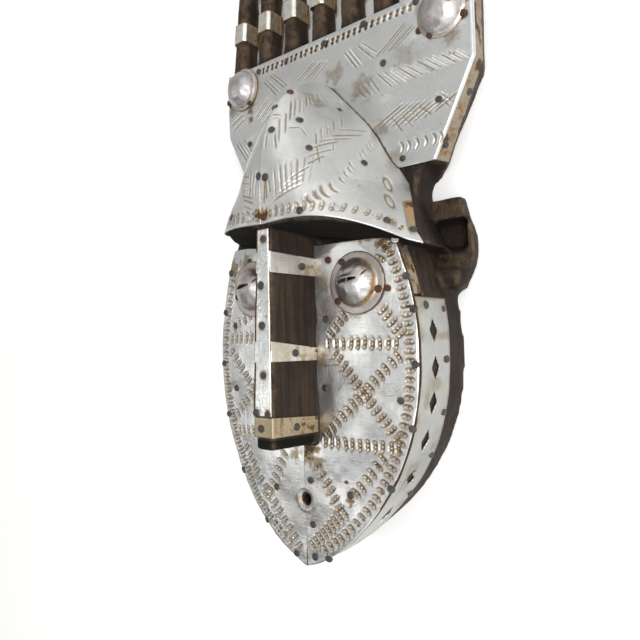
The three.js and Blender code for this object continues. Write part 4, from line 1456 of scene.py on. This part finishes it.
# Tine bands. Three short sleeves of sheet are bent round each tine, one above the other, and closed behind.
# Their fronts are pale, and their sides are browned more towards the back as painted shade and painted
# reflection of the neighbouring tines.
tine_width = {"foot": 18.0, "waist": 15.7, "top": 13.6}
tine_waist = 443.5
tine_back = 6.2
tine_front = 27.8
tine_bevel = 2.6
tine_taper = 0.16
total_height = 588.0
band_heights = (443.5, 490.0, 537.5)
band_width = 17.0
band_rows = 15
band_side_steps = (8, 20, 7, 14, 7, 20, 8)
tine_band_look = metal_finish("tine_band_aluminium", bright=(0.70, 0.68, 0.64, 1),
                              dull=(0.60, 0.57, 0.52, 1), haze=(0.36, 0.265, 0.135, 1),
                              amber=(0.20, 0.12, 0.048, 1), rust=band_rust, rough=0.34)


def tine_half(height):
    below = mix(tine_width["foot"], tine_width["waist"], share(height, tine_foot, tine_waist))
    return mix(below, tine_width["top"], share(height, tine_waist, total_height)) / 2


def tine_sleeve(index, bottom):
    """Rings round a tine, from the middle of its back, with bevelled corners in front."""
    height = np.linspace(bottom, bottom + band_width, band_rows)[:, None]
    half = tine_half(height)
    deep = (tine_front - tine_back) / 2 * (1 - tine_taper * share(height, tine_foot, total_height))
    corners_x = (0 * half, half, half, half - tine_bevel, tine_bevel - half, -half, -half, 0 * half)
    corners_z = (-deep, -deep, deep - tine_bevel, deep, deep, deep - tine_bevel, -deep, -deep)
    x, z = [], []
    for k, count in enumerate(band_side_steps):
        part = np.linspace(0, 1, count + 1)[None, (0 if k == 0 else 1):]
        x.append(mix(corners_x[k], corners_x[k + 1], part))
        z.append(mix(corners_z[k], corners_z[k + 1], part))
    x, z = np.concatenate(x, axis=1), np.concatenate(z, axis=1)
    x = tine_middle(index, height) + x
    z = (tine_back + tine_front) / 2 + z
    ring = np.stack([x, height * np.ones_like(x), z], axis=-1)[:, ::-1]
    return softened(ring, 2)


for index in range(tine_count):
    for k, bottom in enumerate(band_heights):
        sheet = BeatenSheet(tine_sleeve(index, bottom))
        x, height, depth = sheet.flat.T
        seed = 150 + index * 3 + k
        sheet.lift = 0.16 * ripple(x + depth, height, 6, seed)
        streaks = ripple(x + depth, height * 0.15, 2.2, seed + 30)
        spots = eased(ripple(x + depth, height, 4, seed + 60), 0.3, 0.8)
        # Painted shade and painted reflection: the sides of each band darken towards the back.
        painted_side_shade = share(tine_front - 1.8 - depth, 0, 11)
        painted_side_shade = painted_side_shade * (0.42 + 0.18 * streaks) + 0.3 * share(tine_front - 11 - depth, 0, 9)
        sheet.stain = 0.04 + 0.05 * streaks + 0.16 * spots + painted_side_shade
        ends = np.abs(height - bottom - band_width / 2) / (band_width / 2)
        sheet.brown(0.5 * share(ends, 0.94, 1.0))
        sheet.replace("tine_band_%d_%d" % (index + 1, k + 1), tine_band_look, "band_aluminium")

# Nails. Small iron nails with flat, slightly domed heads hold the sheets to the wood. They are
# dark with age. A few are rusty and a few rubbed bright.
nail_radius = 2.75
small_nail = 0.66
nail_head_rise = 0.2
nail_sides = 20
nail_profile = ((1.0, -0.6), (1.0, 0.2), (0.93, 0.52), (0.74, 0.66), (0.62, 0.56), (0.3, 0.72), (0.0, 0.78))


def nail_finish():
    iron = Finish("nail_iron")
    patches = iron.noise(300, 4, 0.6)
    colour = iron.blend(iron.ramp(patches, 0.35, 0.65), (0.034, 0.036, 0.038, 1), (0.075, 0.073, 0.07, 1))
    colour = iron.blend(iron.mark("rust"), colour, (0.075, 0.03, 0.016, 1))
    colour = iron.blend(iron.mark("bright"), colour, (0.5, 0.5, 0.49, 1))
    iron.link(colour, iron.surface.inputs["Base Color"])
    node_input(iron.surface, "Metallic", 0.55)
    iron.link(iron.ramp(patches, 0.3, 0.7, 0.36, 0.6), iron.surface.inputs["Roughness"])
    iron.link(iron.bump(patches, 0.0003), iron.surface.inputs["Normal"])
    return iron.material


def nail_points(place, normal, kind, chance):
    """Rings from the rim of a nail's head to its middle, a little askew, uneven and out of round."""
    up = np.asarray(normal, dtype=float) + chance.uniform(-0.12, 0.12, 3)
    up /= np.linalg.norm(up)
    first = np.cross(up, (0.31, 0.9, 0.3))
    first /= np.linalg.norm(first)
    second = np.cross(up, first)
    size = nail_radius * chance.uniform(0.9, 1.07) * (small_nail if kind == "small" else 1)
    flat = chance.uniform(0.88, 1.0)
    points = []
    for reach, rise in nail_profile[:-1]:
        for k in range(nail_sides):
            angle = 2 * math.pi * k / nail_sides
            side = first * math.cos(angle) + second * math.sin(angle) * flat
            points.append(place + side * size * reach + up * (rise + nail_head_rise))
    points.append(place + up * (nail_profile[-1][1] + nail_head_rise))
    return points


def nail_faces(start):
    """The faces of a nail whose points are numbered from start: its rings, its middle, its back."""
    last = start + (len(nail_profile) - 2) * nail_sides
    faces = []
    for ring in range(start, last, nail_sides):
        for k in range(nail_sides):
            a, b = ring + k, ring + (k + 1) % nail_sides
            faces.append((a, b, b + nail_sides, a + nail_sides))
    for k in range(nail_sides):
        faces.append((last + k, last + (k + 1) % nail_sides, last + nail_sides))
    faces.append(tuple(start + k for k in reversed(range(nail_sides))))
    return faces


def nails(name, places, seed):
    """One mesh for the nails of a group, with how rusty and how bright each one is."""
    chance = np.random.default_rng(seed)
    points, faces, rust, bright = [], [], [], []
    for place, normal, kind in places:
        head = nail_points(place, normal, kind, chance)
        faces += nail_faces(len(points))
        points += head
        rust += [0.9 if kind == "rusty" else 0.2 * chance.uniform()] * len(head)
        bright += [0.85 if kind == "bright" else 0.0] * len(head)
    mesh = bpy.data.meshes.new(name)
    mesh.from_pydata(in_frame(points).tolist(), [], faces)
    attribute(mesh, "rust", rust)
    attribute(mesh, "bright", bright)
    mesh.materials.append(nail_look)
    piece = smooth_object(name, mesh)
    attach(piece, "root")


nail_look = nail_finish()
for k, (name, places) in enumerate(nail_places.items()):
    nails(name, places, 200 + k)

# Floor and light. The mask lies on a pale table in a white room. The room has a soft window to the
# left, is darker below it and brighter on the right. Three soft lamps hang above the crest, behind
# the camera and low on the right.
floor_colour = (0.93, 0.93, 0.925, 1)
floor_shade = (0.91, 0.91, 0.905, 1)
floor_reach = 6.0
room_colour = (1.0, 0.995, 0.965, 1)
room_level = 0.54
room_patches = (
    ((-0.60, -0.08, 0.80), 0.962, 0.995, 2.2),
    ((-0.60, -0.50, 0.62), 0.85, 0.98, -0.42),
    ((0.75, -0.40, 0.50), 0.20, 0.90, 0.45),
)

floor_mesh = bpy.data.meshes.new("table")
corners = [(x * floor_reach, y * floor_reach, 0) for x, y in ((-1, -1), (1, -1), (1, 1), (-1, 1))]
floor_mesh.from_pydata(corners, [], [(0, 1, 2, 3)])
table_top = bpy.data.objects.new("table_top", floor_mesh)
bpy.context.collection.objects.link(table_top)
paint = Finish("pale_table")
paint.link(paint.blend(paint.noise(3, 3), floor_colour, floor_shade), paint.surface.inputs["Base Color"])
node_input(paint.surface, "Roughness", 0.8)
floor_mesh.materials.append(paint.material)
table_top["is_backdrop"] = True

world = bpy.data.worlds.new("studio")
world.use_nodes = True
bpy.context.scene.world = world
sky = world.node_tree
sky_place = sky.nodes.new("ShaderNodeTexCoord")
level = sky.nodes.new("ShaderNodeValue").outputs["Value"]
level.default_value = room_level
for toward, edge, middle, gain in room_patches:
    facing = sky.nodes.new("ShaderNodeVectorMath")
    facing.operation = "DOT_PRODUCT"
    facing.inputs[1].default_value = Vector(toward).normalized()
    sky.links.new(sky_place.outputs["Generated"], facing.inputs[0])
    glow = sky.nodes.new("ShaderNodeMapRange")
    glow.interpolation_type = "SMOOTHSTEP"
    node_input(glow, "From Min", edge)
    node_input(glow, "From Max", middle)
    node_input(glow, "To Max", gain)
    sky.links.new(facing.outputs["Value"], glow.inputs["Value"])
    total = sky.nodes.new("ShaderNodeMath")
    sky.links.new(level, total.inputs[0])
    sky.links.new(glow.outputs["Result"], total.inputs[1])
    level = total.outputs["Value"]
node_input(sky.nodes["Background"], "Color", room_colour)
sky.links.new(level, sky.nodes["Background"].inputs["Strength"])


def soft_light(name, place, target, size, power):
    lamp = bpy.data.lights.new(name, "AREA")
    lamp.shape = "DISK"
    lamp.size = size
    lamp.energy = power
    holder = bpy.data.objects.new(name, lamp)
    aim = Vector(target) - Vector(place)
    holder.matrix_world = Matrix.LocRotScale(Vector(place), aim.to_track_quat("-Z", "Y"), None)
    bpy.context.collection.objects.link(holder)


soft_light("top_light", place=(0.30, 1.7, 1.2), target=(0, 0.1, 0.05), size=2.4, power=12)
soft_light("front_light", place=(1.10, -0.10, 1.34), target=(0, 0, 0.05), size=0.8, power=19)
soft_light("low_light", place=(1.2, -1.15, 1.2), target=(0, 0, 0.05), size=3.0, power=10)
bpy.context.scene.view_settings.view_transform = "Standard"

low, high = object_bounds()
